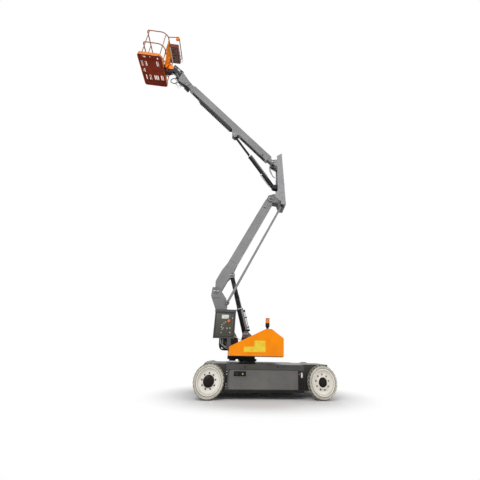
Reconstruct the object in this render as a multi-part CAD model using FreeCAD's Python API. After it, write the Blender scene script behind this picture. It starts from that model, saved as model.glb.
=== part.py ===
import FreeCAD, Part
import math
import os

# Articulating boom lift: a battery chassis on four tyres, a slewing turret with its riser,
# a lower boom with a parallel tie rod, an upright, an upper boom with a telescoping fly
# section, and a levelled platform that turns.  Millimetres, +Z up.  The machine frame used
# below has X = 0 and Y = 0 on the slew axis and Z = 0 on the floor; -Y is the near side, and
# the platform stands out to -X.  Every shape is moved by frame_shift() before export, so that
# the middle of the whole machine's length stands over the origin.

V3 = FreeCAD.Vector

# clearances
SEAT_GAP = 0.3
PIN_FIT = 0.05
SIDE_GAP = 8.0

# wheels and their seats
TYRE_R = 255.0
TYRE_HALF_W = 95.0
TYRE_SHOULDER = 23.0
TYRE_SEAT_R = 178.0
WHEEL_Y = 655.0
DRIVE_AXLE_X = -667.0
STEER_AXLE_X = 1256.0
RIM_T = 8.0
RIM_LIP = 18.0
SIDE_LEAN = 14.0
DISC_OUT = 30.0
DISC_T = 12.0
HUB_R = 92.0
HUB_OUT = 78.0
HUB_BORE_R = 66.0
HUB_BORE_D = 34.0
STUD_R = 7.0
STUD_L = 14.0
STUD_CIRCLE_R = 113.0
STUDS = 9
SPINDLE_R = 26.0
SPINDLE_L = 40.0
HUB_IN = 18.0

# axles and steering
KINGPIN_Y = 595.0
KINGPIN_R = 16.0
AXLE_HALF = 45.0
YOKE_T = 22.0
YOKE_HALF = 34.0
LEVER_X = 112.0
LEVER_IN = 84.0
LEVER_HALF = 17.0
TRACK_R = 13.0
MOTOR_R = 82.0

# chassis
CH_TOP = 500.0
CH_BOTTOM = 100.0
CH_MID_X0 = -396.0
CH_MID_X1 = 945.0
CH_MID_Y = 651.0
CH_DRIVE_X0 = -775.0
CH_DRIVE_Y = 520.0
CH_STEER_X1 = 1460.0
CH_STEER_Y = 370.0
CH_WALL = 8.0
SKIN_T = 16.0
SPINE_HALF = 20.0
LUG_L = 44.0
LUG_HALF = 44.0
LUG_TIP = 14.0
LUG_T = 12.0
LUG_Z = 170.0
LUG_BORE_R = 16.0
LUG_EYE_OUT = 16.0
CH_DECK = 12.0
DOOR_X0 = -345.0
DOOR_X1 = 838.0
DOOR_Z0 = 142.0
DOOR_Z1 = 418.0
DOOR_T = 14.0
DOOR_GAP = 5.0
DOOR_PIN_R = 4.0
DOOR_KNUCKLE_R = 7.0
PACK_X0 = -370.0
PACK_X1 = 910.0
PACK_Y = 560.0
PACK_H = 290.0

# turret
PEDESTAL_R = 155.0
PEDESTAL_H = 28.0
BASE_X0 = -381.0
BASE_X1 = 121.0
BASE_Y = 250.0
BASE_T = 50.0
DECK_Z0 = 610.0
DECK_T = 16.0
DECK_X0 = -366.0
DECK_X1 = 590.0
DECK_Y = 596.0
COVER_T = 6.0
COVER_Y = 613.0
COVER_Z0 = 622.0
COVER_X0 = -374.0
COVER_X1 = 598.0
COVER_LOW_Z = 760.0
COVER_PEAK_X0 = 275.0
COVER_PEAK_X1 = 377.0
COVER_PEAK_Z = 1057.0
COVER_TAIL_Z = 909.0
BALLAST_X0 = 240.0
BALLAST_H = 230.0
BEACON_X = 335.0
BEACON_Y = -300.0
BEACON_R = 40.0
BEACON_NECK_H = 56.0
BEACON_BASE_H = 112.0
BEACON_TOP = 1266.0

# control box
CBOX_X0 = -682.0
CBOX_W = 390.0
CBOX_Y0 = -402.0
CBOX_D = 140.0
CBOX_Z0 = 893.0
CBOX_H = 452.0
CBOX_RIM = 16.0
CBOX_SUNK = 12.0
CBOX_ARM_Y = 26.0
CBOX_ARM_HALF = 20.0
HOOD_H = 36.0
HOOD_OUT = 10.0
HOSES = 4
HOSE_R = 9.0
BOX_HOSE_R = 13.0
HOSE_BEND = 75.0
HOSE_OUT = 40.0

# boom planes: Y of the middle of each piece
UPPER_Y = -85.0
TIE_Y = 28.0
LOWER_Y = 200.0

# lower boom linkage
LOWER_FOOT = (-725.0, 1785.0)
LOWER_LENGTH = 2560.0
LOWER_ANGLE = 63.9
LOWER_DEPTH = 205.0
LOWER_WIDTH = 200.0
LOWER_WALL = 8.0
LOWER_CHEEK = 14.0
LOWER_BOX_S = 700.0
LOWER_BOSS_R = 92.0
FOOT_BOSS_R = 62.0
TIE_OFFSET = (255.0, -224.0)
TIE_SIZE = 50.0
TIE_EYE_R = 36.0
EAR_T = 18.0
PIN_R = 28.0
PIN_OUT = 6.0
TIE_PIN_R = 16.0
RISER_Y0 = LOWER_Y - LOWER_WIDTH / 2 - SIDE_GAP - EAR_T
RISER_Y1 = LOWER_Y + LOWER_WIDTH / 2 + SIDE_GAP + EAR_T

# lift cylinder of the lower boom
LIFT_PIN = (-47.0, 992.0)
LIFT_EYE = (304.0, 358.0)
LIFT_BARREL_R = 62.0
LIFT_ROD_R = 34.0
LIFT_BELOW = 238.0
LIFT_ABOVE = 505.0
LIFT_PIN_R = 26.0
EYE_PIN_R = 24.0
EYE_R = 46.0
GLAND_T = 6.0
GLAND_L = 36.0
GAITER_R = 55.0
GAITER_NECK_R = 46.0
GAITER_L = 270.0
GAITER_RIBS = 9
CHEEK_T = 16.0
STUB_L = 22.0

# upright
UPRIGHT_V = (8.0, 938.0)
UPRIGHT_T = 15.0
UPRIGHT_GAP = 25.0
UPRIGHT_BACK_T = 14.0
UPRIGHT_PEAK = (220.0, 295.0)
UPRIGHT_HEEL = (313.0, -1032.0)
UPRIGHT_TOE = (326.0, -1207.0)
LUG_CROWN = 132.0
LUG_BOSS_R = 84.0
PIN_HEAD_R = 42.0

# upper boom
UPPER_ANGLE = 135.8
OUTER_LENGTH = 3390.0
OUTER_DEPTH = 190.0
OUTER_WIDTH = 150.0
OUTER_WALL = 8.0
FLY_DEPTH = 150.0
FLY_WIDTH = 112.0
FLY_WALL = 6.0
FLY_SHOW = 150.0
COLLAR_L = 55.0
FLY_IN = 1500.0
PAD_L = 120.0
TILT_PIN = (35.0, 216.0)
TILT_REACH = 1319.9
TILT_DROP = 174.6
GUSSET_BACK = 90.0
GUSSET_FRONT = 200.0
GUSSET_TIP = 118.0
GUSSET_PROUD = 5.0
BOX_START = 160.0
EAR_R = 58.0
TILT_BARREL_R = 55.0
TILT_BARREL_L = 1100.0
TILT_ROD_R = 30.0
TILT_ROD_IN = 340.0
TILT_PIN_R = 20.0
TILT_EYE_R = 32.0
CHAIN_S0 = 1520.0
CHAIN_S1 = 2930.0
CHAIN_PITCH = 60.0
CHAIN_GAP = 12.0
CHAIN_H = 70.0
CHAIN_W = 90.0
TRAY_T = 8.0
SLOT_BACK = 300.0
SLOT_HALF = 12.0

# head and levelling; the head's points are given from its own pin
HEAD_REACH = 814.0
HEAD_RISE = 115.1
LEVEL_PIN_R = 20.0
LEVEL_FOOT_AT = (376.0, -624.0)
LEVEL_EYE_AT = (-80.0, -165.0)
LEVEL_BARREL_R = 26.0
LEVEL_BARREL_L = 420.0
LEVEL_ROD_R = 14.0
LEVEL_EYE_R = 24.0
LEVEL_EYE_PIN_R = 12.0
HEAD_T = 14.0
ROTATE_BACK = 163.0
ROTATE_BELOW = 190.0
ROTATE_R = 62.0
ROTATE_L = 260.0
HEAD_CLEAR = 84.0

# platform; its near corner on the boom's side is the rounder one
PLAT_BACK = 302.0
PLAT_BELOW = 180.0
PLAT_L = 683.0
PLAT_Y0 = -632.0
PLAT_Y1 = 499.0
PLAT_CORNER_R = 70.0
PLAT_ROUND_R = 150.0
FLOOR_T = 50.0
FLOOR_RIM = 45.0
PAN_Z = 14.0
PAN_T = 6.0
FLOOR_BAR = 16.0
SLATS = 12
RAIL_TOP = 1145.0
RAIL_MID = 590.0
RAIL_R = 16.0
POST_R = 12.0
RAIL_IN = 40.0
RAIL_BEND = 70.0
RAIL_ROUND_R = 200.0
TOE_H = 60.0
TOE_T = 4.0
GATE_R = 12.0
GATE_GAP = 6.0
GATE_EYE_R = 11.0
GATE_EYE_H = 70.0
GATE_EYE_LOW = 160.0
GATE_EYE_HIGH = 170.0
GATE_PIN_R = 6.0
BRACKET_HALF = 190.0
BRACKET_UP = 330.0
PANEL_Y0 = -420.0
PANEL_Y1 = 60.0
PANEL_T = 6.0
CONSOLE_OVER = 50.0
CONSOLE_W = 315.0
CONSOLE_Y0 = -300.0
CONSOLE_Y1 = 300.0
CONSOLE_UP = 905.0
CONSOLE_H = 145.0
CONSOLE_T = 10.0
HOOP_Y0 = -450.0
HOOP_UP = 140.0

# windows in the floor's pan: x0, x1, y0, y1 from the floor's corner on the free end's near side
FLOOR_WINDOWS = ((151.0, 220.0, 68.0, 116.0), (314.0, 354.0, 56.0, 100.0),
                 (57.0, 104.0, 231.0, 441.0), (160.0, 213.0, 246.0, 408.0),
                 (54.0, 113.0, 499.0, 633.0), (83.0, 123.0, 737.0, 918.0),
                 (195.0, 251.0, 702.0, 915.0), (327.0, 469.0, 731.0, 897.0),
                 (521.0, 604.0, 717.0, 893.0), (530.0, 576.0, 82.0, 150.0),
                 (493.0, 549.0, 214.0, 386.0))
# ribs across the floor: x0 and y from the same corner
FLOOR_RIBS = ((FLOOR_RIM, 182.0), (291.0, 572.0), (FLOOR_RIM, 972.0))

# the tie-down lugs of each end: name, end wall's X, the way it faces, distance from the middle
LUGS = (("drive", CH_DRIVE_X0, -1.0, 400.0), ("steer", CH_STEER_X1, 1.0, 300.0))
WHEELS = (("drive_near", DRIVE_AXLE_X, -1.0), ("drive_far", DRIVE_AXLE_X, 1.0),
          ("steer_near", STEER_AXLE_X, -1.0), ("steer_far", STEER_AXLE_X, 1.0))


def rad(a):
    return math.radians(a)


def along(p, a, d, n=0.0):
    """The point a distance d from p along the angle a, and n to the left of that line."""
    c = math.cos(rad(a))
    s = math.sin(rad(a))
    return (p[0] + d * c - n * s, p[1] + d * s + n * c)


def add(p, q):
    return (p[0] + q[0], p[1] + q[1])


def direction(p, q):
    return math.degrees(math.atan2(q[1] - p[1], q[0] - p[0]))


LOWER_TOP = along(LOWER_FOOT, LOWER_ANGLE, LOWER_LENGTH)
TIE_FOOT = add(LOWER_FOOT, TIE_OFFSET)
TIE_TOP = add(LOWER_TOP, TIE_OFFSET)
UPPER_FOOT = add(LOWER_TOP, UPRIGHT_V)
LIFT_TOP = add(LOWER_FOOT, LIFT_EYE)
TILT_FOOT = add(LOWER_TOP, TILT_PIN)
TILT_TOP = along(UPPER_FOOT, UPPER_ANGLE, TILT_REACH, TILT_DROP)
LEVEL_PIN = along(UPPER_FOOT, UPPER_ANGLE, OUTER_LENGTH + FLY_SHOW + HEAD_REACH, -HEAD_RISE)
LEVEL_FOOT = add(LEVEL_PIN, LEVEL_FOOT_AT)
LEVEL_EYE = add(LEVEL_PIN, LEVEL_EYE_AT)
ROTATE_X = LEVEL_PIN[0] - ROTATE_BACK
ROTATE_Z0 = LEVEL_PIN[1] - ROTATE_BELOW
ROTATE_Z1 = ROTATE_Z0 + ROTATE_L
PLAT_X1 = LEVEL_PIN[0] - PLAT_BACK
PLAT_X0 = PLAT_X1 - PLAT_L
PLAT_Z = LEVEL_PIN[1] - PLAT_BELOW
CONSOLE_X0 = PLAT_X1 - CONSOLE_OVER
CONSOLE_X1 = CONSOLE_X0 + CONSOLE_W
CONSOLE_Z0 = PLAT_Z + CONSOLE_UP
NEAR_Y0 = UPPER_Y - OUTER_WIDTH / 2 - UPRIGHT_GAP - UPRIGHT_T


def frame_shift():
    """Half the machine's length, so that the middle of its box stands over the origin."""
    return -(PLAT_X0 + STEER_AXLE_X + TYRE_R) / 2.0


def strip(p, q, half, z0, z1):
    """A flat bar between two points of the XY plane, with both its ends round."""
    length = math.dist(p, q)
    nx = -(q[1] - p[1]) / length * half
    ny = (q[0] - p[0]) / length * half
    bar = slab(((p[0] + nx, p[1] + ny), (q[0] + nx, q[1] + ny), (q[0] - nx, q[1] - ny),
                (p[0] - nx, p[1] - ny)), z0, z1)
    return fuse([bar, post(p[0], p[1], half, z0, z1), post(q[0], q[1], half, z0, z1)])


def box(x0, x1, y0, y1, z0, z1):
    return Part.makeBox(x1 - x0, y1 - y0, z1 - z0, V3(x0, y0, z0))


def side_box(x0, x1, side, y0, y1, z0, z1):
    """A box given by its distances from the middle plane, on the near (-1) or far (1) side."""
    return box(x0, x1, min(side * y0, side * y1), max(side * y0, side * y1), z0, z1)


def plate(points, y0, y1):
    """A flat profile in the XZ plane, given thickness from y0 to y1."""
    ring = [V3(x, y0, z) for x, z in points]
    return Part.Face(Part.makePolygon(ring + [ring[0]])).extrude(V3(0, y1 - y0, 0))


def wall(points, x0, x1):
    """A flat profile in the YZ plane, given thickness from x0 to x1."""
    ring = [V3(x0, y, z) for y, z in points]
    return Part.Face(Part.makePolygon(ring + [ring[0]])).extrude(V3(x1 - x0, 0, 0))


def slab(points, z0, z1):
    """A flat outline in the XY plane, given thickness from z0 to z1."""
    ring = [V3(x, y, z0) for x, y in points]
    return Part.Face(Part.makePolygon(ring + [ring[0]])).extrude(V3(0, 0, z1 - z0))


def round_slab(x0, x1, y0, y1, r, z0, z1):
    """A rectangle with four round corners, given thickness from z0 to z1."""
    body = box(x0, x1, y0, y1, z0, z1)
    edges = [e for e in body.Edges if abs(e.Vertexes[0].Z - e.Vertexes[-1].Z) > (z1 - z0) / 2]
    return body.makeFillet(r, edges)


def disc(p, r, y0, y1):
    """A cylinder along Y about the point p = (x, z)."""
    return Part.makeCylinder(r, abs(y1 - y0), V3(p[0], min(y0, y1), p[1]), V3(0, 1, 0))


def post(x, y, r, z0, z1):
    return Part.makeCylinder(r, z1 - z0, V3(x, y, z0))


def rod(p, a, s0, s1, r, y):
    """A round bar in the plane at y, along the angle a from p, between s0 and s1."""
    q0 = along(p, a, s0)
    q1 = along(p, a, s1)
    start = V3(q0[0], y, q0[1])
    end = V3(q1[0], y, q1[1])
    return Part.makeCylinder(r, s1 - s0, start, end - start)


def beam(p, a, s0, s1, n0, n1, y0, y1):
    """A box along the angle a from p: s0 to s1 along it and n0 to n1 to its left."""
    corners = ((s0, n0), (s1, n0), (s1, n1), (s0, n1))
    return plate([along(p, a, s, n) for s, n in corners], y0, y1)


def fuse(shapes):
    whole = shapes[0]
    if len(shapes) > 1:
        whole = shapes[0].fuse(shapes[1:])
    return whole.removeSplitter()


def cut(shape, tools):
    return shape.cut(tools).removeSplitter()


def bent_path(points, bends):
    """Straight runs through the points, joined by tangent arcs of the radii in bends."""
    pts = [V3(*p) for p in points]
    edges = []
    start = pts[0]
    for i in range(1, len(pts) - 1):
        bend = bends[(i - 1) % len(bends)]
        u = (pts[i - 1] - pts[i]).normalize()
        w = (pts[i + 1] - pts[i]).normalize()
        half = u.getAngle(w) / 2.0
        t0 = pts[i] + u * (bend / math.tan(half))
        t1 = pts[i] + w * (bend / math.tan(half))
        top = pts[i] + (u + w).normalize() * (bend / math.sin(half) - bend)
        edges.append(Part.makeLine(start, t0))
        edges.append(Part.Arc(t0, top, t1).toShape())
        start = t1
    edges.append(Part.makeLine(start, pts[-1]))
    return Part.Wire(edges)


def bent_tube(points, r, *bends):
    """A round bar or hose along a bent path; one bend radius may serve for all its corners."""
    first = V3(*points[0])
    ring = Part.Wire(Part.makeCircle(r, first, V3(*points[1]) - first))
    return bent_path(points, bends).makePipeShell([ring], True, False)


def wheel_ring(profile, x, side):
    """Revolves (radius, outward) pairs about the axle at x; outward is from the tyre's middle."""
    y = side * WHEEL_Y
    pts = [V3(x + r, y + side * t, TYRE_R) for r, t in profile]
    face = Part.Face(Part.makePolygon(pts + [pts[0]]))
    return face.revolve(V3(x, y, TYRE_R), V3(0, 1, 0), 360)


def wheel_disc(x, side, r, t0, t1):
    return disc((x, TYRE_R), r, side * (WHEEL_Y + t0), side * (WHEEL_Y + t1))


def tyre(x, side):
    """The solid tyre, bonded to its rim across SEAT_GAP; its sides lean in to the rim's lip."""
    w = TYRE_HALF_W
    s = TYRE_SHOULDER
    r = TYRE_SEAT_R + SEAT_GAP
    seat = w - SIDE_LEAN
    profile = ((r, -seat), (r + RIM_LIP, -w), (TYRE_R - s, -w), (TYRE_R, s - w),
               (TYRE_R, w - s), (TYRE_R - s, w), (r + RIM_LIP, w), (r, seat))
    return wheel_ring(profile, x, side)


def rim(x, side):
    """The dished rim with its hub, its ring of studs and the bore that runs on the spindle."""
    s = TYRE_SEAT_R
    seat = TYRE_HALF_W - SIDE_LEAN + SEAT_GAP
    inner = s - RIM_T
    profile = ((inner, -seat), (s, -seat), (s, seat), (s + RIM_LIP, seat + SIDE_LEAN),
               (s + RIM_LIP - 4, seat + SIDE_LEAN + 3), (inner, seat + 6),
               (inner - 6, DISC_OUT + 20), (inner - 40, DISC_OUT + 6), (HUB_R - 10, DISC_OUT),
               (HUB_R - 10, DISC_OUT - DISC_T), (inner - 30, DISC_OUT - DISC_T),
               (inner, DISC_OUT - 34))
    parts = [wheel_ring(profile, x, side), wheel_disc(x, side, HUB_R, HUB_IN, HUB_OUT)]
    for i in range(STUDS):
        a = 2 * math.pi * i / STUDS
        p = (x + STUD_CIRCLE_R * math.cos(a), TYRE_R + STUD_CIRCLE_R * math.sin(a))
        parts.append(disc(p, STUD_R, side * (WHEEL_Y + DISC_OUT - 4),
                          side * (WHEEL_Y + DISC_OUT + STUD_L)))
    spindle = wheel_disc(x, side, SPINDLE_R + PIN_FIT, HUB_IN - 1, HUB_IN + SPINDLE_L + 2)
    bowl = wheel_disc(x, side, HUB_BORE_R, HUB_OUT - 6, HUB_OUT + 1)
    return cut(fuse(parts), [spindle, bowl])


def spindle(x, side):
    """The stub that a wheel turns on, with the shoulder that its hub runs against."""
    stub = wheel_disc(x, side, SPINDLE_R, HUB_IN - 12, HUB_IN + SPINDLE_L)
    shoulder = wheel_disc(x, side, SPINDLE_R + 24, HUB_IN - 12, HUB_IN - SEAT_GAP)
    return fuse([stub, shoulder])


def side_frame(side):
    """The skin round a side door, with the two hinge eyes and pins that carry the door."""
    y0 = CH_MID_Y - SKIN_T
    g = DOOR_GAP
    parts = [side_box(CH_MID_X0, DOOR_X0 - g, side, y0, CH_MID_Y, CH_BOTTOM, CH_TOP),
             side_box(DOOR_X1 + g, CH_MID_X1, side, y0, CH_MID_Y, CH_BOTTOM, CH_TOP),
             side_box(CH_MID_X0, CH_MID_X1, side, y0, CH_MID_Y, CH_BOTTOM, DOOR_Z0 - g),
             side_box(CH_MID_X0, CH_MID_X1, side, y0, CH_MID_Y, DOOR_Z1 + g, CH_TOP)]
    x = DOOR_X0 + 2
    y = CH_MID_Y + 3
    for z0, z1 in ((DOOR_Z0 + 10, DOOR_Z0 + 22), (DOOR_Z1 - 22, DOOR_Z1 - 10)):
        parts.append(side_box(DOOR_X0 - g - 25, x + DOOR_KNUCKLE_R, side, CH_MID_Y - 1,
                              y + DOOR_KNUCKLE_R, z0, z1))
    for z0, z1 in ((DOOR_Z0 + 12, DOOR_Z0 + 60), (DOOR_Z1 - 60, DOOR_Z1 - 12)):
        parts.append(post(x, side * y, DOOR_PIN_R, z0, z1))
    return fuse(parts)


def side_frames():
    return Part.makeCompound([side_frame(-1.0), side_frame(1.0)])


def tie_down_lug(end, way, y):
    """A flat lug, low on an end wall, with an upright bore for a shackle's pin."""
    tip = end + way * LUG_L
    shape = ((end - way * 2, y - LUG_HALF), (end + way * LUG_EYE_OUT, y - 2 * LUG_TIP),
             (tip, y - LUG_TIP), (tip, y + LUG_TIP), (end + way * LUG_EYE_OUT, y + 2 * LUG_TIP),
             (end - way * 2, y + LUG_HALF))
    lug = slab(shape, LUG_Z - LUG_T / 2, LUG_Z + LUG_T / 2)
    return lug.cut(post(end + way * LUG_EYE_OUT, y, LUG_BORE_R, LUG_Z - LUG_T, LUG_Z + LUG_T))


def chassis_frame():
    """The middle of the chassis: floor, deck and end walls on a spine, with the pedestal."""
    w = CH_WALL
    y = CH_MID_Y - SKIN_T
    body = box(CH_MID_X0, CH_MID_X1, -y, y, CH_BOTTOM, CH_TOP)
    hollow = box(CH_MID_X0 + w, CH_MID_X1 - w, -CH_MID_Y, CH_MID_Y, CH_BOTTOM + CH_DECK,
                 CH_TOP - CH_DECK)
    spine = box(CH_MID_X0 + 2, CH_MID_X1 - 2, -SPINE_HALF, SPINE_HALF, CH_BOTTOM, CH_TOP - 2)
    pedestal = post(0, 0, PEDESTAL_R, CH_TOP - CH_DECK, CH_TOP + PEDESTAL_H)
    return fuse([body.cut(hollow), spine, pedestal])


def end_box(x0, x1, half, way, window):
    """A folded end bay, open below and towards the middle, with a window for its axle."""
    w = CH_WALL
    body = box(x0, x1, -half, half, CH_BOTTOM, CH_TOP)
    hollow = box(x0 + w if way < 0 else x0 - 1, x1 + 1 if way < 0 else x1 - w, w - half,
                 half - w, CH_BOTTOM - 1, CH_TOP - CH_DECK)
    wx0, wx1, wz0, wz1 = window
    windows = [side_box(wx0, wx1, s, half - 2 * w, half + 1, wz0, wz1) for s in (-1.0, 1.0)]
    return body.cut([hollow] + windows)


def chassis_ends():
    """The drive end's bay and the steer end's bay, each with its two tie-down lugs."""
    bays = {"drive": end_box(CH_DRIVE_X0, CH_MID_X0, CH_DRIVE_Y, -1.0,
                             (DRIVE_AXLE_X - 90, DRIVE_AXLE_X + 90, 150, 360)),
            "steer": end_box(CH_MID_X1, CH_STEER_X1, CH_STEER_Y, 1.0,
                             (STEER_AXLE_X - LEVER_X - 55, STEER_AXLE_X + 70, 140, 375))}
    return Part.makeCompound([fuse([bays[name], tie_down_lug(end, way, -y),
                                    tie_down_lug(end, way, y)]) for name, end, way, y in LUGS])


def battery_pack():
    """The heavy battery, as two plain blocks either side of the spine."""
    z0 = CH_BOTTOM + CH_DECK
    return Part.makeCompound([side_box(PACK_X0, PACK_X1, s, SPINE_HALF, PACK_Y, z0, z0 + PACK_H)
                              for s in (-1.0, 1.0)])


def side_door(side):
    y0 = CH_MID_Y - DOOR_T
    panel = side_box(DOOR_X0, DOOR_X1, side, y0, CH_MID_Y, DOOR_Z0, DOOR_Z1)
    x = DOOR_X0 + 2
    y = side * (CH_MID_Y + 3)
    z0 = DOOR_Z0 + 22 + SEAT_GAP
    z1 = DOOR_Z1 - 22 - SEAT_GAP
    rooms = [side_box(DOOR_X0 - 1, x + 12, side, y0 - 1, CH_MID_Y + 1, DOOR_Z0 - 1, z0),
             side_box(DOOR_X0 - 1, x + 12, side, y0 - 1, CH_MID_Y + 1, z1, DOOR_Z1 + 1)]
    knuckle_bar = post(x, y, DOOR_KNUCKLE_R, z0, z1)
    niche = side_box(-266, -56, side, CH_MID_Y - 5, CH_MID_Y + 5, 322, 398)
    bores = [post(x, y, DOOR_PIN_R + PIN_FIT, z0 - 1, DOOR_Z0 + 62),
             post(x, y, DOOR_PIN_R + PIN_FIT, DOOR_Z1 - 62, z1 + 1)]
    return cut(fuse([panel.cut([niche] + rooms), knuckle_bar]), bores)


def drive_axle():
    """The drive end: an axle tube with a motor housing at each wheel."""
    x = DRIVE_AXLE_X
    parts = [box(x - 60, x + 60, -470, 470, TYRE_R - 60, TYRE_R + 60)]
    for side in (-1.0, 1.0):
        parts.append(disc((x, TYRE_R), MOTOR_R, side * 465, side * (WHEEL_Y + HUB_IN - 11)))
        parts.append(spindle(x, side))
        parts.append(box(x - 60, x + 60, side * 300 - 8, side * 300 + 8, TYRE_R, CH_TOP - CH_DECK))
    return fuse(parts)


def steer_axle():
    """The steer end's beam, with a bored eye for each kingpin."""
    x = STEER_AXLE_X
    a = AXLE_HALF
    parts = [box(x - a, x + a, a - KINGPIN_Y, KINGPIN_Y - a, TYRE_R - a, TYRE_R + a)]
    holes = []
    for side in (-1.0, 1.0):
        parts.append(box(x - a, x + a, side * 260 - 8, side * 260 + 8, TYRE_R, CH_TOP - CH_DECK))
        parts.append(post(x, side * KINGPIN_Y, 36, TYRE_R - a, TYRE_R + a))
        parts.append(side_box(x - 30, x + 30, side, KINGPIN_Y - 60, KINGPIN_Y, TYRE_R - a,
                              TYRE_R + a))
        holes.append(post(x, side * KINGPIN_Y, KINGPIN_R + PIN_FIT, TYRE_R - a - 1,
                          TYRE_R + a + 1))
    return cut(fuse(parts), holes)


def knuckle(side):
    """A steered knuckle: yoke, kingpin, spindle and steering lever."""
    x = STEER_AXLE_X
    y = side * KINGPIN_Y
    top = TYRE_R + AXLE_HALF + SEAT_GAP
    low = TYRE_R - AXLE_HALF - SEAT_GAP
    h = YOKE_HALF
    web0 = KINGPIN_Y + 46
    web1 = WHEEL_Y + HUB_IN - 11
    parts = [side_box(x - h, x + h, side, KINGPIN_Y - h, web1, top, top + YOKE_T),
             side_box(x - h, x + h, side, KINGPIN_Y - h, web1, low - YOKE_T, low),
             post(x, y, KINGPIN_R, low - YOKE_T + 4, top + YOKE_T - 4),
             disc((x, TYRE_R), 76, side * web0, side * web1), spindle(x, side),
             strip((x, y), (x - LEVER_X, side * (KINGPIN_Y - LEVER_IN)), LEVER_HALF,
                   low - YOKE_T, low - 4)]
    return fuse(parts)


def track_rod():
    """The bar that ties the two steering levers, with an eye under each lever's end."""
    x = STEER_AXLE_X - LEVER_X
    half = KINGPIN_Y - LEVER_IN
    z1 = TYRE_R - AXLE_HALF - SEAT_GAP - YOKE_T - SEAT_GAP
    z = z1 - TRACK_R
    bar = Part.makeCylinder(TRACK_R - 3, 2 * half, V3(x, -half, z), V3(0, 1, 0))
    eyes = [post(x, s * half, TRACK_R + 4, z - TRACK_R, z1) for s in (-1.0, 1.0)]
    return fuse([bar] + eyes)


def turret_base():
    """The black base over the slewing ring, with the slew drive beside it."""
    z0 = CH_TOP + PEDESTAL_H + SEAT_GAP
    ring = post(0, 0, PEDESTAL_R + 22, z0, z0 + 36)
    block = box(BASE_X0, BASE_X1, -BASE_Y, BASE_Y, DECK_Z0 - BASE_T, DECK_Z0)
    motor = post(BASE_X0 + 90, -BASE_Y + 85, 62, z0 + 4, DECK_Z0)
    return fuse([ring, block, motor])


def riser_side():
    return ((-703, 1470), (-620, 1150), (-560, 900), (DECK_X0, 760), (DECK_X0, DECK_Z0),
            (-150, DECK_Z0), (-200, 900), (-330, 1100), (-430, 1300), (-472, 1470))


def turret_frame():
    """Deck, box riser with its two head ears, tie rod pin and lift cylinder bracket."""
    x, z = LOWER_FOOT
    deck = box(DECK_X0, DECK_X1, -DECK_Y, DECK_Y, DECK_Z0, DECK_Z0 + DECK_T)
    riser = plate(riser_side(), RISER_Y0, RISER_Y1)
    inside = plate(((-690, 1480), (-592, 1150), (-520, 930), (-330, 790), (-190, 700),
                    (-225, 880), (-350, 1080), (-455, 1290), (-490, 1480)),
                   RISER_Y0 + EAR_T, RISER_Y1 - EAR_T)
    head = ((x - 84, z + 78), (x - 97, z - 93), (-703, 1440), (-472, 1440), (-462, 1500),
            (-500, 1640), (x + 103, z + 15), (x + 45, z + 78))
    ears = [plate(head, RISER_Y0, RISER_Y0 + EAR_T), plate(head, RISER_Y1 - EAR_T, RISER_Y1)]
    pin = disc(LOWER_FOOT, PIN_R, RISER_Y0 - PIN_OUT, RISER_Y1 + PIN_OUT)
    tie_eye = disc(TIE_FOOT, 42, RISER_Y0, RISER_Y0 + EAR_T)
    tie_pin = disc(TIE_FOOT, TIE_PIN_R, TIE_Y - TIE_SIZE / 2 - 4, RISER_Y0 + 5)
    collar = disc(TIE_FOOT, TIE_PIN_R + 8, TIE_Y + TIE_SIZE / 2 + SEAT_GAP, RISER_Y0 + 1)
    px, pz = LIFT_PIN
    foot = ((px - 120, DECK_Z0 + 4), (px - 64, pz - 10), (px - 40, pz + 48), (px + 40, pz + 48),
            (px + 130, pz - 32), (px + 200, DECK_Z0 + 4))
    cheek0 = LIFT_BARREL_R + GLAND_T + SEAT_GAP
    cheeks = [plate(foot, LOWER_Y - cheek0 - CHEEK_T, LOWER_Y - cheek0),
              plate(foot, LOWER_Y + cheek0, LOWER_Y + cheek0 + CHEEK_T)]
    stubs = [disc(LIFT_PIN, LIFT_PIN_R, LOWER_Y + s * (cheek0 - STUB_L),
                  LOWER_Y + s * (cheek0 + CHEEK_T + PIN_OUT)) for s in (-1.0, 1.0)]
    return fuse([deck, riser.cut(inside)] + ears + cheeks + stubs
                + [pin, tie_eye, tie_pin, collar])


def cover_profile(inset):
    t = inset
    return ((COVER_X0 + t, COVER_Z0), (COVER_X0 + t, COVER_LOW_Z - t), (COVER_PEAK_X0, COVER_PEAK_Z - t),
            (COVER_PEAK_X1, COVER_PEAK_Z - t), (COVER_X1 - t, COVER_TAIL_Z - t / 2),
            (COVER_X1 - t, COVER_Z0))


def turret_cover():
    """The folded sheet hood, open below, with a slot for the riser and the cylinder's feet."""
    t = COVER_T
    shell = plate(cover_profile(0), -COVER_Y, COVER_Y)
    room = plate([(x, z - (z == COVER_Z0)) for x, z in cover_profile(t)], t - COVER_Y, COVER_Y - t)
    slot = box(COVER_X0 - 20, LIFT_PIN[0] + 215, RISER_Y0 - 14, RISER_Y1 + 14, COVER_Z0 - 5,
               COVER_PEAK_Z)
    arm_y = CBOX_Y0 + CBOX_ARM_Y
    notch = box(COVER_X0 - 20, DECK_X0 + 80, arm_y - CBOX_ARM_HALF - 6, arm_y + CBOX_ARM_HALF + 6,
                COVER_Z0 - 5, COVER_PEAK_Z)
    return cut(shell, [room, slot, notch])


def counterweight():
    """The cast ballast in the tail, as one plain block."""
    z0 = DECK_Z0 + DECK_T
    return box(BALLAST_X0, COVER_X1 - 40, -DECK_Y + 60, DECK_Y - 60, z0, z0 + BALLAST_H)


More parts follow.
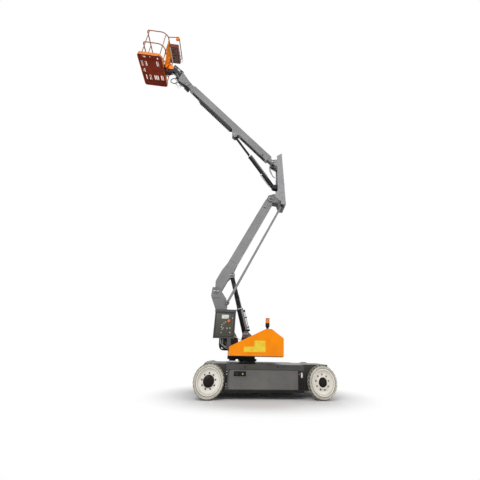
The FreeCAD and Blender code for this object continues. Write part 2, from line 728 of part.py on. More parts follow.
def control_box():
    """The ground controls: an open-faced box under a hood, on a bent arm from the deck."""
    x0, y0, z0 = CBOX_X0, CBOX_Y0, CBOX_Z0
    x1 = x0 + CBOX_W
    y1 = y0 + CBOX_D
    z1 = z0 + CBOX_H
    body = box(x0, x1, y0, y1, z0, z1)
    face = box(x0 + CBOX_RIM, x1 - CBOX_RIM, y0 - 1, y0 + CBOX_SUNK, z0 + CBOX_RIM, z1 - CBOX_RIM)
    hood = box(x0 - 6, x1 + 4, y0 - HOOD_OUT, y1 + 6, z1 - 4, z1 + HOOD_H)
    arm_y = y0 + CBOX_ARM_Y
    arm = plate(((x0 + 260, z0 + 4), (x0 + 260, z0 - 120), (DECK_X0 + 4, DECK_Z0 + 40),
                 (DECK_X0 + 4, DECK_Z0 + DECK_T), (DECK_X0 + 70, DECK_Z0 + DECK_T),
                 (DECK_X0 + 70, DECK_Z0 + 90), (x0 + 330, z0 - 60), (x0 + 330, z0 + 4)),
                arm_y - CBOX_ARM_HALF, arm_y + CBOX_ARM_HALF)
    mid = (x0 + CBOX_W / 2, z0 + CBOX_H / 2)
    front = y0 + CBOX_SUNK + 1
    knob = disc(add(mid, (72, 62)), 24, front, y0 - 12)
    dials = [disc(add(mid, (-88 + 44 * i, -92 - 22 * (i % 2))), 12, front, y0 - 2)
             for i in range(5)]
    return fuse([body.cut(face), hood, arm, knob] + dials)


def turret_hoses():
    """The hoses from under the control box to the cover's end, each along its own path."""
    runs = []
    for i in range(HOSES):
        x = CBOX_X0 + 100 + 38 * i
        y = CBOX_Y0 + 126 - 24 * (i % 2)
        z = COVER_LOW_Z - 105 + 29 * i
        end = COVER_X0 - SEAT_GAP
        runs.append(bent_tube(((x, y, CBOX_Z0 - SEAT_GAP), (x, y, z), (end, y, z)),
                              BOX_HOSE_R, HOSE_BEND))
    return Part.makeCompound(runs)


def beacon_base():
    """A neck on the cover's peak and the wider cup that holds the lens."""
    neck = post(BEACON_X, BEACON_Y, BEACON_R - 18, COVER_PEAK_Z, COVER_PEAK_Z + BEACON_NECK_H)
    flare = Part.makeCone(BEACON_R - 18, BEACON_R, 22, V3(BEACON_X, BEACON_Y, COVER_PEAK_Z + 34))
    cup = post(BEACON_X, BEACON_Y, BEACON_R, COVER_PEAK_Z + BEACON_NECK_H,
               COVER_PEAK_Z + BEACON_BASE_H)
    return fuse([neck, flare, cup])


def beacon_lens():
    lens = post(BEACON_X, BEACON_Y, BEACON_R - 2, COVER_PEAK_Z + BEACON_BASE_H, BEACON_TOP)
    rim_edge = [e for e in lens.Edges if e.BoundBox.ZMin > BEACON_TOP - 1]
    return lens.makeFillet(9, rim_edge)


def lower_boom():
    """A box beam on a cranked foot of two cheeks, which stays open for the lift cylinder."""
    a = LOWER_ANGLE
    y0 = LOWER_Y - LOWER_WIDTH / 2
    y1 = LOWER_Y + LOWER_WIDTH / 2
    h = LOWER_DEPTH / 2
    w = LOWER_WALL
    p = LOWER_FOOT
    neck = LOWER_LENGTH - 90
    body = beam(p, a, LOWER_BOX_S, neck, -h, h, y0, y1)
    bore = beam(p, a, LOWER_BOX_S - 1, neck - 90, w - h, h - w, y0 + w, y1 - w)
    x, z = p
    ex, ez = LIFT_TOP
    heel = along(p, a, LOWER_BOX_S + 20, h)
    elbow = along(heel, a, -h, 0)
    outline = ((x - 35, z + 215), (x - 29, z + 88), (x - 62, z + 10), (x - 20, z - 60),
               (x + 35, z - 58), (x + 108, z + 8), (ex - 79, ez - 113), (ex - 29, ez - 62),
               (ex + 36, ez - 62), (ex + 68, ez - 6), (ex + 36, ez + 72),
               along(p, a, LOWER_BOX_S + 20, -h), heel, elbow, (x + 80, z + 457))
    cheeks = [plate(outline, y0, y0 + LOWER_CHEEK), plate(outline, y1 - LOWER_CHEEK, y1)]
    t = LOWER_CHEEK
    back = ((x - 35, z + 215), (x - 29, z + 88), (x + t - 29, z + 88), (x + t - 35, z + 211),
            (x + t + 78, z + 451), along(heel, a, -h, -t), along(heel, a, 0, -t), heel, elbow,
            (x + 80, z + 457))
    parts = [body.cut(bore)] + cheeks + [plate(back, y0, y1)]
    parts.append(disc(p, FOOT_BOSS_R, y0, y1))
    parts.append(disc(LOWER_TOP, LOWER_BOSS_R, y0, y1))
    parts.append(beam(p, a, neck - 100, LOWER_LENGTH, 12 - h, h - 12, y0, y1))
    holes = [disc(q, PIN_R + PIN_FIT, y0 - 1, y1 + 1) for q in (p, LOWER_TOP)]
    s = LOWER_LENGTH - SLOT_BACK
    holes.append(beam(p, a, s - SLOT_HALF, s + SLOT_HALF, -SLOT_HALF, h / 2, y0 - 1, y0 + w + 1))
    heads = [disc(LIFT_TOP, EYE_PIN_R, y0 - PIN_OUT, y0 + 1),
             disc(LIFT_TOP, EYE_PIN_R, y1 - 1, y1 + PIN_OUT)]
    return fuse([cut(fuse(parts), holes)] + heads)


def tie_rod():
    y0 = TIE_Y - TIE_SIZE / 2
    y1 = TIE_Y + TIE_SIZE / 2
    h = TIE_SIZE / 2
    bar = beam(TIE_FOOT, LOWER_ANGLE, 10, LOWER_LENGTH - 10, -h, h, y0, y1)
    eyes = [disc(p, TIE_EYE_R, y0, y1) for p in (TIE_FOOT, TIE_TOP)]
    bores = [disc(TIE_FOOT, TIE_PIN_R + PIN_FIT, y0 - 1, y1 + 1),
             disc(TIE_TOP, TIE_PIN_R + SEAT_GAP, y0 - 1, y1 + 1)]
    return cut(fuse([bar] + eyes), bores)


def lift_barrel():
    """The lower boom's cylinder, hung from a trunnion part way up its barrel."""
    a = direction(LIFT_PIN, LIFT_TOP)
    r = LIFT_BARREL_R
    top = LIFT_ABOVE
    body = rod(LIFT_PIN, a, -LIFT_BELOW, top - 2, r, LOWER_Y)
    gland = rod(LIFT_PIN, a, top - GLAND_L, top, r + GLAND_T, LOWER_Y)
    trunnion = disc(LIFT_PIN, 56, LOWER_Y - r - GLAND_T, LOWER_Y + r + GLAND_T)
    pipe_y = LOWER_Y - 20
    pipe = beam(LIFT_PIN, a, 40, top - 60, -r - 34, -r - 20, pipe_y - 7, pipe_y + 7)
    blocks = [beam(LIFT_PIN, a, s, s + 40, -r - 38, 10 - r, pipe_y - 14, pipe_y + 14)
              for s in (30, top - 90)]
    bore = rod(LIFT_PIN, a, 20 - LIFT_BELOW, top + 1, LIFT_ROD_R + PIN_FIT, LOWER_Y)
    out = r + GLAND_T
    sockets = [disc(LIFT_PIN, LIFT_PIN_R + PIN_FIT, LOWER_Y + s * (out - STUB_L),
                    LOWER_Y + s * (out + 5)) for s in (-1.0, 1.0)]
    return cut(fuse([body, gland, trunnion, pipe] + blocks), [bore] + sockets)


def lift_rod():
    """Its rod, whose eye and pin lie between the two cheeks of the boom's foot."""
    a = direction(LIFT_PIN, LIFT_TOP)
    length = math.dist(LIFT_PIN, LIFT_TOP)
    half = LOWER_WIDTH / 2 - LOWER_CHEEK - SEAT_GAP
    return fuse([rod(LIFT_PIN, a, LIFT_ABOVE - 90, length - 20, LIFT_ROD_R, LOWER_Y),
                 disc(LIFT_TOP, EYE_R, LOWER_Y - 40, LOWER_Y + 40),
                 disc(LIFT_TOP, EYE_PIN_R, LOWER_Y - half, LOWER_Y + half)])


def lift_gaiter():
    """The rubber sleeve over the lift cylinder's rod, ribbed where it folds over the gland."""
    a = direction(LIFT_PIN, LIFT_TOP)
    start = LIFT_ABOVE + SEAT_GAP
    end = math.dist(LIFT_PIN, LIFT_TOP) - EYE_R - 6
    pitch = GAITER_L / GAITER_RIBS
    parts = [rod(LIFT_PIN, a, start, end, GAITER_NECK_R, LOWER_Y)]
    for i in range(GAITER_RIBS):
        s = start + pitch * i
        parts.append(rod(LIFT_PIN, a, s, s + pitch * 0.6, GAITER_R, LOWER_Y))
    bore = rod(LIFT_PIN, a, start - 1, end + 1, LIFT_ROD_R + SEAT_GAP, LOWER_Y)
    return cut(fuse(parts), [bore])


def upright():
    """Near plate, web and far lug on one back plate, with the pins of both booms."""
    lx, lz = LOWER_TOP
    vx, vz = UPPER_FOOT
    tx, tz = TIE_TOP
    back_top = add(UPPER_FOOT, UPRIGHT_PEAK)
    back_mid = add(UPPER_FOOT, UPRIGHT_HEEL)
    back_low = add(UPPER_FOOT, UPRIGHT_TOE)
    crown = (back_mid[0] - 7, lz + LUG_CROWN)
    near = (back_top, (vx + 86, vz + 191), (vx + 103, vz + 88), (vx - 10, vz + 62),
            (vx - 60, vz), (vx - 10, vz - 60), (vx + 105, vz - 127), (vx + 121, vz - 839),
            (vx + 66, vz - 906), (vx + 43, vz - 1011), (tx - 44, tz + 30), (tx - 38, tz - 40),
            (tx + 24, tz - 44), back_low, back_mid)
    web = (back_top, (vx + 91, vz + 191), (vx + 103, vz + 88), (vx - 10, vz + 62),
           (vx - 60, vz), (vx - 10, vz - 62), (vx + 105, vz - 127), (lx + 120, crown[1]),
           back_mid)
    lug = ((lx - 66, lz + 78), (lx + 75, crown[1]), crown, back_mid, back_low,
           (tx + 24, tz - 44), (tx - 38, tz - 40), (lx + 170, lz - 110), (lx + 20, lz - 92),
           (lx - 70, lz - 62), (lx - 92, lz))
    t = UPRIGHT_BACK_T
    back = (back_top, back_mid, back_low, (back_low[0] - t, back_low[1]),
            (back_mid[0] - t, back_mid[1]), (back_top[0] - t, back_top[1] - 12))
    low_back = (crown, back_mid, back_low, (back_low[0] - t, back_low[1]),
                (back_mid[0] - t, back_mid[1]), (crown[0] - t, crown[1]))
    u0 = UPPER_Y - OUTER_WIDTH / 2 - SEAT_GAP
    u1 = UPPER_Y + OUTER_WIDTH / 2 + SEAT_GAP
    e0 = UPPER_Y - TILT_BARREL_R - 2
    e1 = UPPER_Y + TILT_BARREL_R + 2
    parts = [plate(near, NEAR_Y0, NEAR_Y0 + UPRIGHT_T), plate(web, RISER_Y0, RISER_Y0 + EAR_T),
             plate(lug, RISER_Y0, RISER_Y0 + EAR_T), plate(lug, RISER_Y1 - EAR_T, RISER_Y1),
             plate(back, NEAR_Y0, RISER_Y0 + EAR_T), plate(low_back, RISER_Y0, RISER_Y1),
             disc(UPPER_FOOT, 58, u1, RISER_Y0 + 1), disc(UPPER_FOOT, 58, NEAR_Y0 + 1, u0),
             disc(UPPER_FOOT, PIN_R, NEAR_Y0 - PIN_OUT, RISER_Y0 + EAR_T + PIN_OUT),
             disc(LOWER_TOP, PIN_R, RISER_Y0 - PIN_OUT, RISER_Y1 + PIN_OUT),
             disc(LOWER_TOP, LUG_BOSS_R, RISER_Y0 - PIN_OUT, RISER_Y0 + 1),
             disc(LOWER_TOP, PIN_HEAD_R, RISER_Y0 - 2 * PIN_OUT, RISER_Y0 + 1),
             disc(TIE_TOP, TIE_PIN_R, TIE_Y - TIE_SIZE / 2 - 4, RISER_Y0 + 5),
             disc(TIE_TOP, TIE_PIN_R + 8, TIE_Y + TIE_SIZE / 2 + SEAT_GAP, RISER_Y0 + 1),
             disc(TILT_FOOT, TILT_PIN_R, e0 - 16, e1 + 16)]
    fx, fz = TILT_FOOT
    shelf = ((fx - 42, fz + 18), (fx + 10, fz + 60), (vx + 300, fz + 120), (vx + 300, fz - 60),
             (fx + 10, fz - 48), (fx - 38, fz - 26))
    parts.extend([plate(shelf, e0 - 14, e0), plate(shelf, e1, e1 + 14)])
    return fuse(parts)


def outer_boom():
    """The upper boom's outer box, its pivot ears and the gusset of the tilt cylinder."""
    a = UPPER_ANGLE
    p = UPPER_FOOT
    h = OUTER_DEPTH / 2
    w = OUTER_WALL
    y0 = UPPER_Y - OUTER_WIDTH / 2
    y1 = UPPER_Y + OUTER_WIDTH / 2
    body = beam(p, a, BOX_START, OUTER_LENGTH, -h, h, y0, y1)
    bore = beam(p, a, BOX_START + w, OUTER_LENGTH + 1, w - h, h - w, y0 + w, y1 - w)
    parts = [body.cut(bore)]
    for e0, e1, f0, f1 in ((y0, y0 + 20, y0 + 6, y0 + 20), (y1 - 20, y1, y1 - 20, y1 - 6)):
        parts.append(disc(p, EAR_R, e0, e1))
        parts.append(beam(p, a, 0, BOX_START + w, -EAR_R + 10, EAR_R - 10, f0, f1))
    g = GUSSET_TIP
    tip = TILT_TOP
    for n, e0, e1 in ((0.0, y0 - GUSSET_PROUD, y0 + LOWER_CHEEK), (h - 2, y1 - LOWER_CHEEK, y1)):
        gusset = (along(p, a, TILT_REACH - GUSSET_BACK, n), along(p, a, TILT_REACH - GUSSET_BACK, h),
                  along(tip, -90, 0, g * 0.6), along(tip, -90, g * 0.6, g * 0.4),
                  along(tip, -90, g * 0.7, 0), along(tip, -90, g * 0.2, -g * 0.6),
                  along(p, a, TILT_REACH + GUSSET_FRONT, h), along(p, a, TILT_REACH + GUSSET_FRONT, n))
        parts.append(plate(gusset, e0, e1))
    pads = []
    gap_y = (OUTER_WIDTH - 2 * w - FLY_WIDTH) / 2 - SEAT_GAP
    gap_n = (OUTER_DEPTH - 2 * w - FLY_DEPTH) / 2 - SEAT_GAP
    s0 = OUTER_LENGTH - PAD_L
    for q0, q1 in ((y0 + w - 1, y0 + w + gap_y), (y1 - w - gap_y, y1 - w + 1)):
        pads.append(beam(p, a, s0, OUTER_LENGTH, -45, 45, q0, q1))
    for n0, n1 in ((w - h - 1, w - h + gap_n), (h - w - gap_n, h - w + 1)):
        pads.append(beam(p, a, s0, OUTER_LENGTH, n0, n1, UPPER_Y - 40, UPPER_Y + 40))
    hole = disc(p, PIN_R + PIN_FIT, y0 - 1, y1 + 1)
    heads = [disc(TILT_TOP, TILT_PIN_R, y0 - GUSSET_PROUD - PIN_OUT, y0 + 1),
             disc(TILT_TOP, TILT_PIN_R, y1 - 1, y1 + PIN_OUT)]
    return fuse([cut(fuse(parts + pads), [hole])] + heads)


def chain_link(s, side):
    """One side plate of a chain link: a bar with a round knuckle that laps its neighbour."""
    k = CHAIN_W / 2
    n0 = OUTER_DEPTH / 2 + TRAY_T - 1
    n1 = n0 + CHAIN_H - 12
    y0 = UPPER_Y + side * (k - 8)
    y1 = UPPER_Y + side * k
    half = (CHAIN_PITCH - CHAIN_GAP) / 2
    bar = beam(UPPER_FOOT, UPPER_ANGLE, s - half, s + half, n0, n1, min(y0, y1), max(y0, y1))
    nose = beam(UPPER_FOOT, UPPER_ANGLE, s - half / 2, s + half / 2, n0, n1 + 12, min(y0, y1),
                max(y0, y1))
    return [bar, nose]


def energy_chain():
    """The energy chain in its tray under the outer boom."""
    a = UPPER_ANGLE
    p = UPPER_FOOT
    h = OUTER_DEPTH / 2
    k = CHAIN_W / 2
    top = h + TRAY_T
    parts = [beam(p, a, CHAIN_S0, CHAIN_S1, h, top, UPPER_Y - k - 14, UPPER_Y + k + 14),
             beam(p, a, CHAIN_S0 + 20, CHAIN_S1 - 20, top - 1, top + CHAIN_H - 26,
                  UPPER_Y - k + 6, UPPER_Y + k - 6)]
    for s in (-1.0, 1.0):
        q = UPPER_Y + s * (k + 10)
        parts.append(beam(p, a, CHAIN_S0, CHAIN_S1, h, top + 34, min(q, q + s * 4),
                          max(q, q + s * 4)))
    count = int((CHAIN_S1 - CHAIN_S0 - 40) / CHAIN_PITCH)
    for i in range(count):
        s = CHAIN_S0 + 20 + (i + 0.5) * CHAIN_PITCH
        parts.extend(chain_link(s, -1.0) + chain_link(s, 1.0))
        parts.append(beam(p, a, s - 10, s + 10, top + CHAIN_H - 27, top + CHAIN_H - 14,
                          UPPER_Y - k + 4, UPPER_Y + k - 4))
    return fuse(parts)


def tilt_barrel():
    a = direction(TILT_FOOT, TILT_TOP)
    r = TILT_BARREL_R
    length = TILT_BARREL_L
    body = rod(TILT_FOOT, a, 30, length - 2, r, UPPER_Y)
    gland = rod(TILT_FOOT, a, length - GLAND_L, length, r + 5, UPPER_Y)
    eye = disc(TILT_FOOT, EYE_R, UPPER_Y - r + 5, UPPER_Y + r - 5)
    bore = rod(TILT_FOOT, a, 90, length + 1, TILT_ROD_R + PIN_FIT, UPPER_Y)
    hole = disc(TILT_FOOT, TILT_PIN_R + PIN_FIT, UPPER_Y - r - 5, UPPER_Y + r + 5)
    return cut(fuse([body, gland, eye]), [bore, hole])


def tilt_rod():
    a = direction(TILT_FOOT, TILT_TOP)
    length = math.dist(TILT_FOOT, TILT_TOP)
    half = OUTER_WIDTH / 2 - LOWER_CHEEK - SEAT_GAP
    start = TILT_BARREL_L - TILT_ROD_IN
    return fuse([rod(TILT_FOOT, a, start, length - 20, TILT_ROD_R, UPPER_Y),
                 disc(TILT_TOP, TILT_EYE_R, UPPER_Y - 40, UPPER_Y + 40),
                 disc(TILT_TOP, TILT_PIN_R, UPPER_Y - half, UPPER_Y + half)])


def fly_boom():
    """The sliding section, its mouth collar and the cranked head: two plates with a top web."""
    a = UPPER_ANGLE
    p = UPPER_FOOT
    h = FLY_DEPTH / 2
    y0 = UPPER_Y - FLY_WIDTH / 2
    y1 = UPPER_Y + FLY_WIDTH / 2
    e0 = UPPER_Y - OUTER_WIDTH / 2
    e1 = UPPER_Y + OUTER_WIDTH / 2
    k = HEAD_T
    s0 = OUTER_LENGTH - FLY_IN
    s1 = OUTER_LENGTH + FLY_SHOW
    s2 = s1 + COLLAR_L
    body = beam(p, a, s0, s2, -h, h, y0, y1)
    bore = beam(p, a, s0 - 1, s1, FLY_WALL - h, h - FLY_WALL, y0 + FLY_WALL, y1 - FLY_WALL)
    collar = beam(p, a, s1, s2, -h - 4, h + 6, e0, e1)
    x, z = LEVEL_PIN
    edge = (x + 213, z - 117)
    side = (along(p, a, s1, -h + 12), edge, (x - 28, z + 112), (x - 62, z + 40), (x - 40, z - 30),
            (x - 22, z - 161), (x + 182, z - 540), along(p, a, s1, h + 14))
    web = (along(p, a, s1, -h + 12), edge, (x + 203, z - 127), along(p, a, s2, -h + 26))
    windows = [plate(((x + 70, z - 24), (x + 158, z - 104), (x + 148, z - 178), (x + 58, z - 112)),
                     e0 - 1, e1 + 1),
               plate(((x + 132, z - 300), (x + 180, z - 350), (x + 172, z - 415)), e0 - 1, e1 + 1)]
    cheeks = [plate(side, y, y + k).cut(windows) for y in (e0, e1 - k)]
    heads = [disc(LEVEL_FOOT, LEVEL_EYE_PIN_R + 6, e0 - PIN_OUT, e0 + 1),
             disc(LEVEL_FOOT, LEVEL_EYE_PIN_R + 6, e1 - 1, e1 + PIN_OUT)]
    pin = disc(LEVEL_PIN, LEVEL_PIN_R, e0 - 5, e1 + 5)
    pad_y = (OUTER_WIDTH - 2 * OUTER_WALL - FLY_WIDTH) / 2 - SEAT_GAP
    pad_n = (OUTER_DEPTH - 2 * OUTER_WALL - FLY_DEPTH) / 2 - SEAT_GAP
    pads = [beam(p, a, s0, s0 + PAD_L, -40, 40, y0 - pad_y, y0 + 1),
            beam(p, a, s0, s0 + PAD_L, -40, 40, y1 - 1, y1 + pad_y),
            beam(p, a, s0, s0 + PAD_L, -h - pad_n, 1 - h, UPPER_Y - 35, UPPER_Y + 35),
            beam(p, a, s0, s0 + PAD_L, h - 1, h + pad_n, UPPER_Y - 35, UPPER_Y + 35)]
    return fuse([body.cut(bore), collar, plate(web, e0, e1), pin] + cheeks + heads + pads)


def level_barrel():
    a = direction(LEVEL_FOOT, LEVEL_EYE)
    r = LEVEL_EYE_R
    half = OUTER_WIDTH / 2 - HEAD_T - SEAT_GAP
    parts = [rod(LEVEL_FOOT, a, 15, LEVEL_BARREL_L, LEVEL_BARREL_R, UPPER_Y),
             disc(LEVEL_FOOT, r, UPPER_Y - 22, UPPER_Y + 22),
             disc(LEVEL_FOOT, LEVEL_EYE_PIN_R, UPPER_Y - half, UPPER_Y + half)]
    bore = rod(LEVEL_FOOT, a, 45, LEVEL_BARREL_L + 1, LEVEL_ROD_R + PIN_FIT, UPPER_Y)
    return cut(fuse(parts), [bore])


def level_rod():
    a = direction(LEVEL_FOOT, LEVEL_EYE)
    length = math.dist(LEVEL_FOOT, LEVEL_EYE)
    parts = [rod(LEVEL_FOOT, a, 150, length - 10, LEVEL_ROD_R, UPPER_Y),
             disc(LEVEL_EYE, LEVEL_EYE_R, UPPER_Y - 20, UPPER_Y + 20)]
    hole = disc(LEVEL_EYE, LEVEL_EYE_PIN_R + PIN_FIT, UPPER_Y - 30, UPPER_Y + 30)
    return cut(fuse(parts), [hole])


def rotator():
    """The levelled knuckle: a barrel for the platform's turn, on a lug at the head's pin."""
    x, z = LEVEL_PIN
    half = OUTER_WIDTH / 2 - HEAD_T - SEAT_GAP
    core = post(ROTATE_X, UPPER_Y, ROTATE_R, ROTATE_Z0, ROTATE_Z1)
    arm = ((ROTATE_X, ROTATE_Z1 - 10), (x, z + 52), (x + 40, z + 32), (x + 50, z), (x + 30, z - 45),
           (LEVEL_EYE[0] + 30, LEVEL_EYE[1] - 16), (LEVEL_EYE[0], LEVEL_EYE[1] - 20),
           (ROTATE_X, ROTATE_Z0 + 5))
    ex, ez = LEVEL_EYE
    lug = plate(arm, UPPER_Y - half, UPPER_Y + half)
    slot = plate(((ex - 36, ez - 60), (ex - 36, ez + 36), (x - 10, z - 38), (x + 70, z - 30),
                  (x + 70, ez - 60)), UPPER_Y - 30, UPPER_Y + 30)
    hole = disc(LEVEL_PIN, LEVEL_PIN_R + PIN_FIT, UPPER_Y - 80, UPPER_Y + 80)
    body = cut(fuse([core, lug]), [slot, hole])
    return fuse([body, disc(LEVEL_EYE, LEVEL_EYE_PIN_R, UPPER_Y - half, UPPER_Y + half)])


def platform_bracket():
    """The turning bracket: caps over and under the barrel, two cheeks and a back plate."""
    x = ROTATE_X
    y = UPPER_Y
    k = ROTATE_R + 8
    z0 = ROTATE_Z0 - SEAT_GAP
    z1 = ROTATE_Z1 + SEAT_GAP
    px = PLAT_X1
    parts = []
    for a0, a1 in ((z1, z1 + 24), (z0 - 24, z0)):
        parts.append(post(x, y, ROTATE_R + 10, a0, a1))
        parts.append(box(px - 2, x, y - k, y + k, a0, a1))
    inner = x - HEAD_CLEAR
    up = z1 + BRACKET_UP
    cheek = ((px, z0 - 24), (inner, z0 - 24), (inner, z1 + 24), (px + 55, up), (px, up))
    for s in (-1.0, 1.0):
        q = y + s * k
        parts.append(plate(cheek, min(q, q - s * 12), max(q, q - s * 12)))
    parts.append(box(px, px + 12, y - BRACKET_HALF, y + BRACKET_HALF, z0 - 24, z1 + 40))
    panel = ((PANEL_Y0, CONSOLE_Z0), (PANEL_Y0, up), (y - BRACKET_HALF, z1 + 40),
             (y + BRACKET_HALF, z1 + 40), (PANEL_Y1, up), (PANEL_Y1, CONSOLE_Z0))
    parts.append(wall(panel, px, px + PANEL_T))
    return fuse(parts)


def floor_slab(inset, z0, z1):
    """The floor's outline with its three small corners and its round one."""
    x0, x1 = PLAT_X0 + inset, PLAT_X1 - inset
    y0, y1 = PLAT_Y0 + inset, PLAT_Y1 - inset
    body = box(x0, x1, y0, y1, z0, z1)
    upright_edges = [e for e in body.Edges if abs(e.Vertexes[0].Z - e.Vertexes[-1].Z) > (z1 - z0) / 2]
    for e in upright_edges:
        near_boom = e.Vertexes[0].X > (x0 + x1) / 2 and e.Vertexes[0].Y < (y0 + y1) / 2
        r = (PLAT_ROUND_R if near_boom else PLAT_CORNER_R) - inset
        cx = e.Vertexes[0].X + (r if e.Vertexes[0].X < (x0 + x1) / 2 else -r)
        cy = e.Vertexes[0].Y + (r if e.Vertexes[0].Y < (y0 + y1) / 2 else -r)
        corner = box(min(cx, e.Vertexes[0].X), max(cx, e.Vertexes[0].X),
                     min(cy, e.Vertexes[0].Y), max(cy, e.Vertexes[0].Y), z0, z1)
        body = body.cut(corner.cut(post(cx, cy, r, z0, z1)))
    return body


def platform_floor():
    """The floor: a rim with a windowed pan and ribs, slats on top, and the toe boards round it."""
    z0 = PLAT_Z
    z1 = PLAT_Z + FLOOR_T
    k = FLOOR_RIM
    rim_frame = floor_slab(0, z0, z1).cut(floor_slab(k, z0 - 1, z1 + 1))
    toe = floor_slab(0, z1, z1 + TOE_H).cut(floor_slab(TOE_T, z1 - 1, z1 + TOE_H + 1))
    pan = floor_slab(k - 2, z0 + PAN_Z, z0 + PAN_Z + PAN_T)
    windows = [box(PLAT_X0 + x0, PLAT_X0 + x1, PLAT_Y0 + y0, PLAT_Y0 + y1, z0, z1)
               for x0, x1, y0, y1 in FLOOR_WINDOWS]
    ribs = [box(PLAT_X0 + x0 - 2, PLAT_X1 - k + 2, PLAT_Y0 + y - FLOOR_BAR, PLAT_Y0 + y + FLOOR_BAR,
                z0, z1 - 8) for x0, y in FLOOR_RIBS]
    slats = []
    for i in range(SLATS):
        x = PLAT_X0 + k + (i + 0.5) * (PLAT_L - 2 * k) / SLATS
        slats.append(box(x - 13, x + 13, PLAT_Y0 + k - 2, PLAT_Y1 - k + 2, z1 - 10, z1))
    inside = floor_slab(k - 3, z0, z1)
    return fuse([rim_frame, toe, pan.cut(windows)] + ribs + [s.common(inside) for s in slats])


def rail_corners():
    """X and Y of the rail posts' middles, from the floor's edges."""
    return (PLAT_X0 + RAIL_IN, PLAT_X1 - RAIL_IN, PLAT_Y0 + RAIL_IN, PLAT_Y1 - RAIL_IN)


def platform_rails():
    """Top and middle rails round three sides, their posts, and the hoop over the console."""
    z1 = PLAT_Z + FLOOR_T
    top = PLAT_Z + RAIL_TOP
    mid = PLAT_Z + RAIL_MID
    x0, x1, y0, y1 = rail_corners()
    r = RAIL_R
    middle = (y0 + y1) / 2
    bow = RAIL_ROUND_R * (1 - math.sqrt(0.5))
    posts = ((x0, y1), (x1, y1), (x0, middle), (x1, CONSOLE_Y0 - 40), (x0 + RAIL_BEND, y0),
             (x1 - bow, y0 + bow))
    parts = [post(x, y, POST_R, z1, top) for x, y in posts]
    for z in (mid, top):
        corners = ((x0, y1, z), (x0, y0, z), (x1, y0, z), (x1, y1, z))
        parts.append(bent_tube(corners, r, RAIL_BEND, RAIL_ROUND_R))
    parts.append(Part.makeCylinder(r, x1 - x0, V3(x0, y1, top), V3(1, 0, 0)))
    hoop_z = CONSOLE_Z0 + CONSOLE_H + HOOP_UP
    cx1 = CONSOLE_X1 + 10
    parts.append(bent_tube(((x1 - 8, HOOP_Y0, top - 2), (cx1, HOOP_Y0, hoop_z),
                            (cx1, CONSOLE_Y1 + 40, hoop_z), (x1, CONSOLE_Y1 + 40, top - 2)),
                           r - 2, 60))
    gx = x1 - RAIL_R - GATE_R - GATE_GAP
    for z in (mid - GATE_EYE_LOW, top - GATE_EYE_HIGH):
        parts.append(box(gx - 10, x1, y1 - 10, y1 + 10, z - 8, z + 8))
        parts.append(post(gx, y1, GATE_PIN_R, z - 6, z + 60))
    return fuse(parts)


def platform_gate():
    """The swing gate of the far end, hung on two pins of the rail post."""
    x0, x1, y0, y1 = rail_corners()
    mid = PLAT_Z + RAIL_MID
    top = PLAT_Z + RAIL_TOP
    gx = x1 - RAIL_R - GATE_R - GATE_GAP
    lx = x0 + RAIL_R + 22
    z0 = PLAT_Z + FLOOR_T + TOE_H + 30
    z1 = top - RAIL_R - 20
    low = mid - GATE_EYE_LOW + 8 + SEAT_GAP
    high = top - GATE_EYE_HIGH + 8 + SEAT_GAP
    parts = [post(gx, y1, GATE_EYE_R, z, z + GATE_EYE_H) for z in (low, high)]
    hang = gx - 40
    parts.append(post(hang, y1, GATE_R, z0, z1))
    parts.append(post(lx, y1, GATE_R, z0, z1))
    for z in (low + 30, high + 30):
        parts.append(box(hang, gx - GATE_EYE_R + 3, y1 - 6, y1 + 6, z - 8, z + 8))
    for z in (z0 + GATE_R, (z0 + z1) / 2, z1 - GATE_R):
        parts.append(Part.makeCylinder(GATE_R, hang - lx, V3(lx, y1, z), V3(1, 0, 0)))
    bores = [post(gx, y1, GATE_PIN_R + PIN_FIT, z - 1, z + 72) for z in (low, high)]
    return cut(fuse(parts), bores)


def console():
    """The platform controls: an open tray with a slotted floor, a raised panel and two levers."""
    x0, x1, y0, y1 = CONSOLE_X0, CONSOLE_X1, CONSOLE_Y0, CONSOLE_Y1
    z0 = CONSOLE_Z0
    z1 = z0 + CONSOLE_H
    t = CONSOLE_T
    tray = box(x0, x1, y0, y1, z0, z1)
    room = box(x0 + t, x1 - t, y0 + t, y1 - t, z0 + t, z1 + 1)
    gap = box(x0 + 58, x0 + 96, y0 + 2 * t, y1 - 12 * t, z0 - 1, z0 + t + 1)
    panel = box(x0 + 110, x1 - 3 * t, y0 + 6 * t, y1 - 6 * t, z0 + t - 1, z1 + 30)
    levers = [post((x0 + x1) / 2 + 30, y, 9, z1 + 29, z1 + 110) for y in (-120, 120)]
    knob = post((x0 + x1) / 2 + 30, 0, 20, z1 + 29, z1 + 58)
    return fuse([tray.cut([room, gap]), panel, knob] + levers)


def head_hoses():
    """A hose loop beside the head, with both its ends on the head's plate."""
    x, z = LEVEL_PIN
    y0 = UPPER_Y + OUTER_WIDTH / 2 + SEAT_GAP
    y1 = y0 + HOSE_OUT
    loop = ((x + 120, y0, z - 330), (x + 120, y1, z - 330), (x + 60, y1, z - 415),
            (x + 70, y1, z - 505), (x + 155, y1, z - 560), (x + 240, y1, z - 540),
            (x + 262, y1, z - 460), (x + 262, y0, z - 460))
    return bent_tube(loop, HOSE_R - 2, 17)


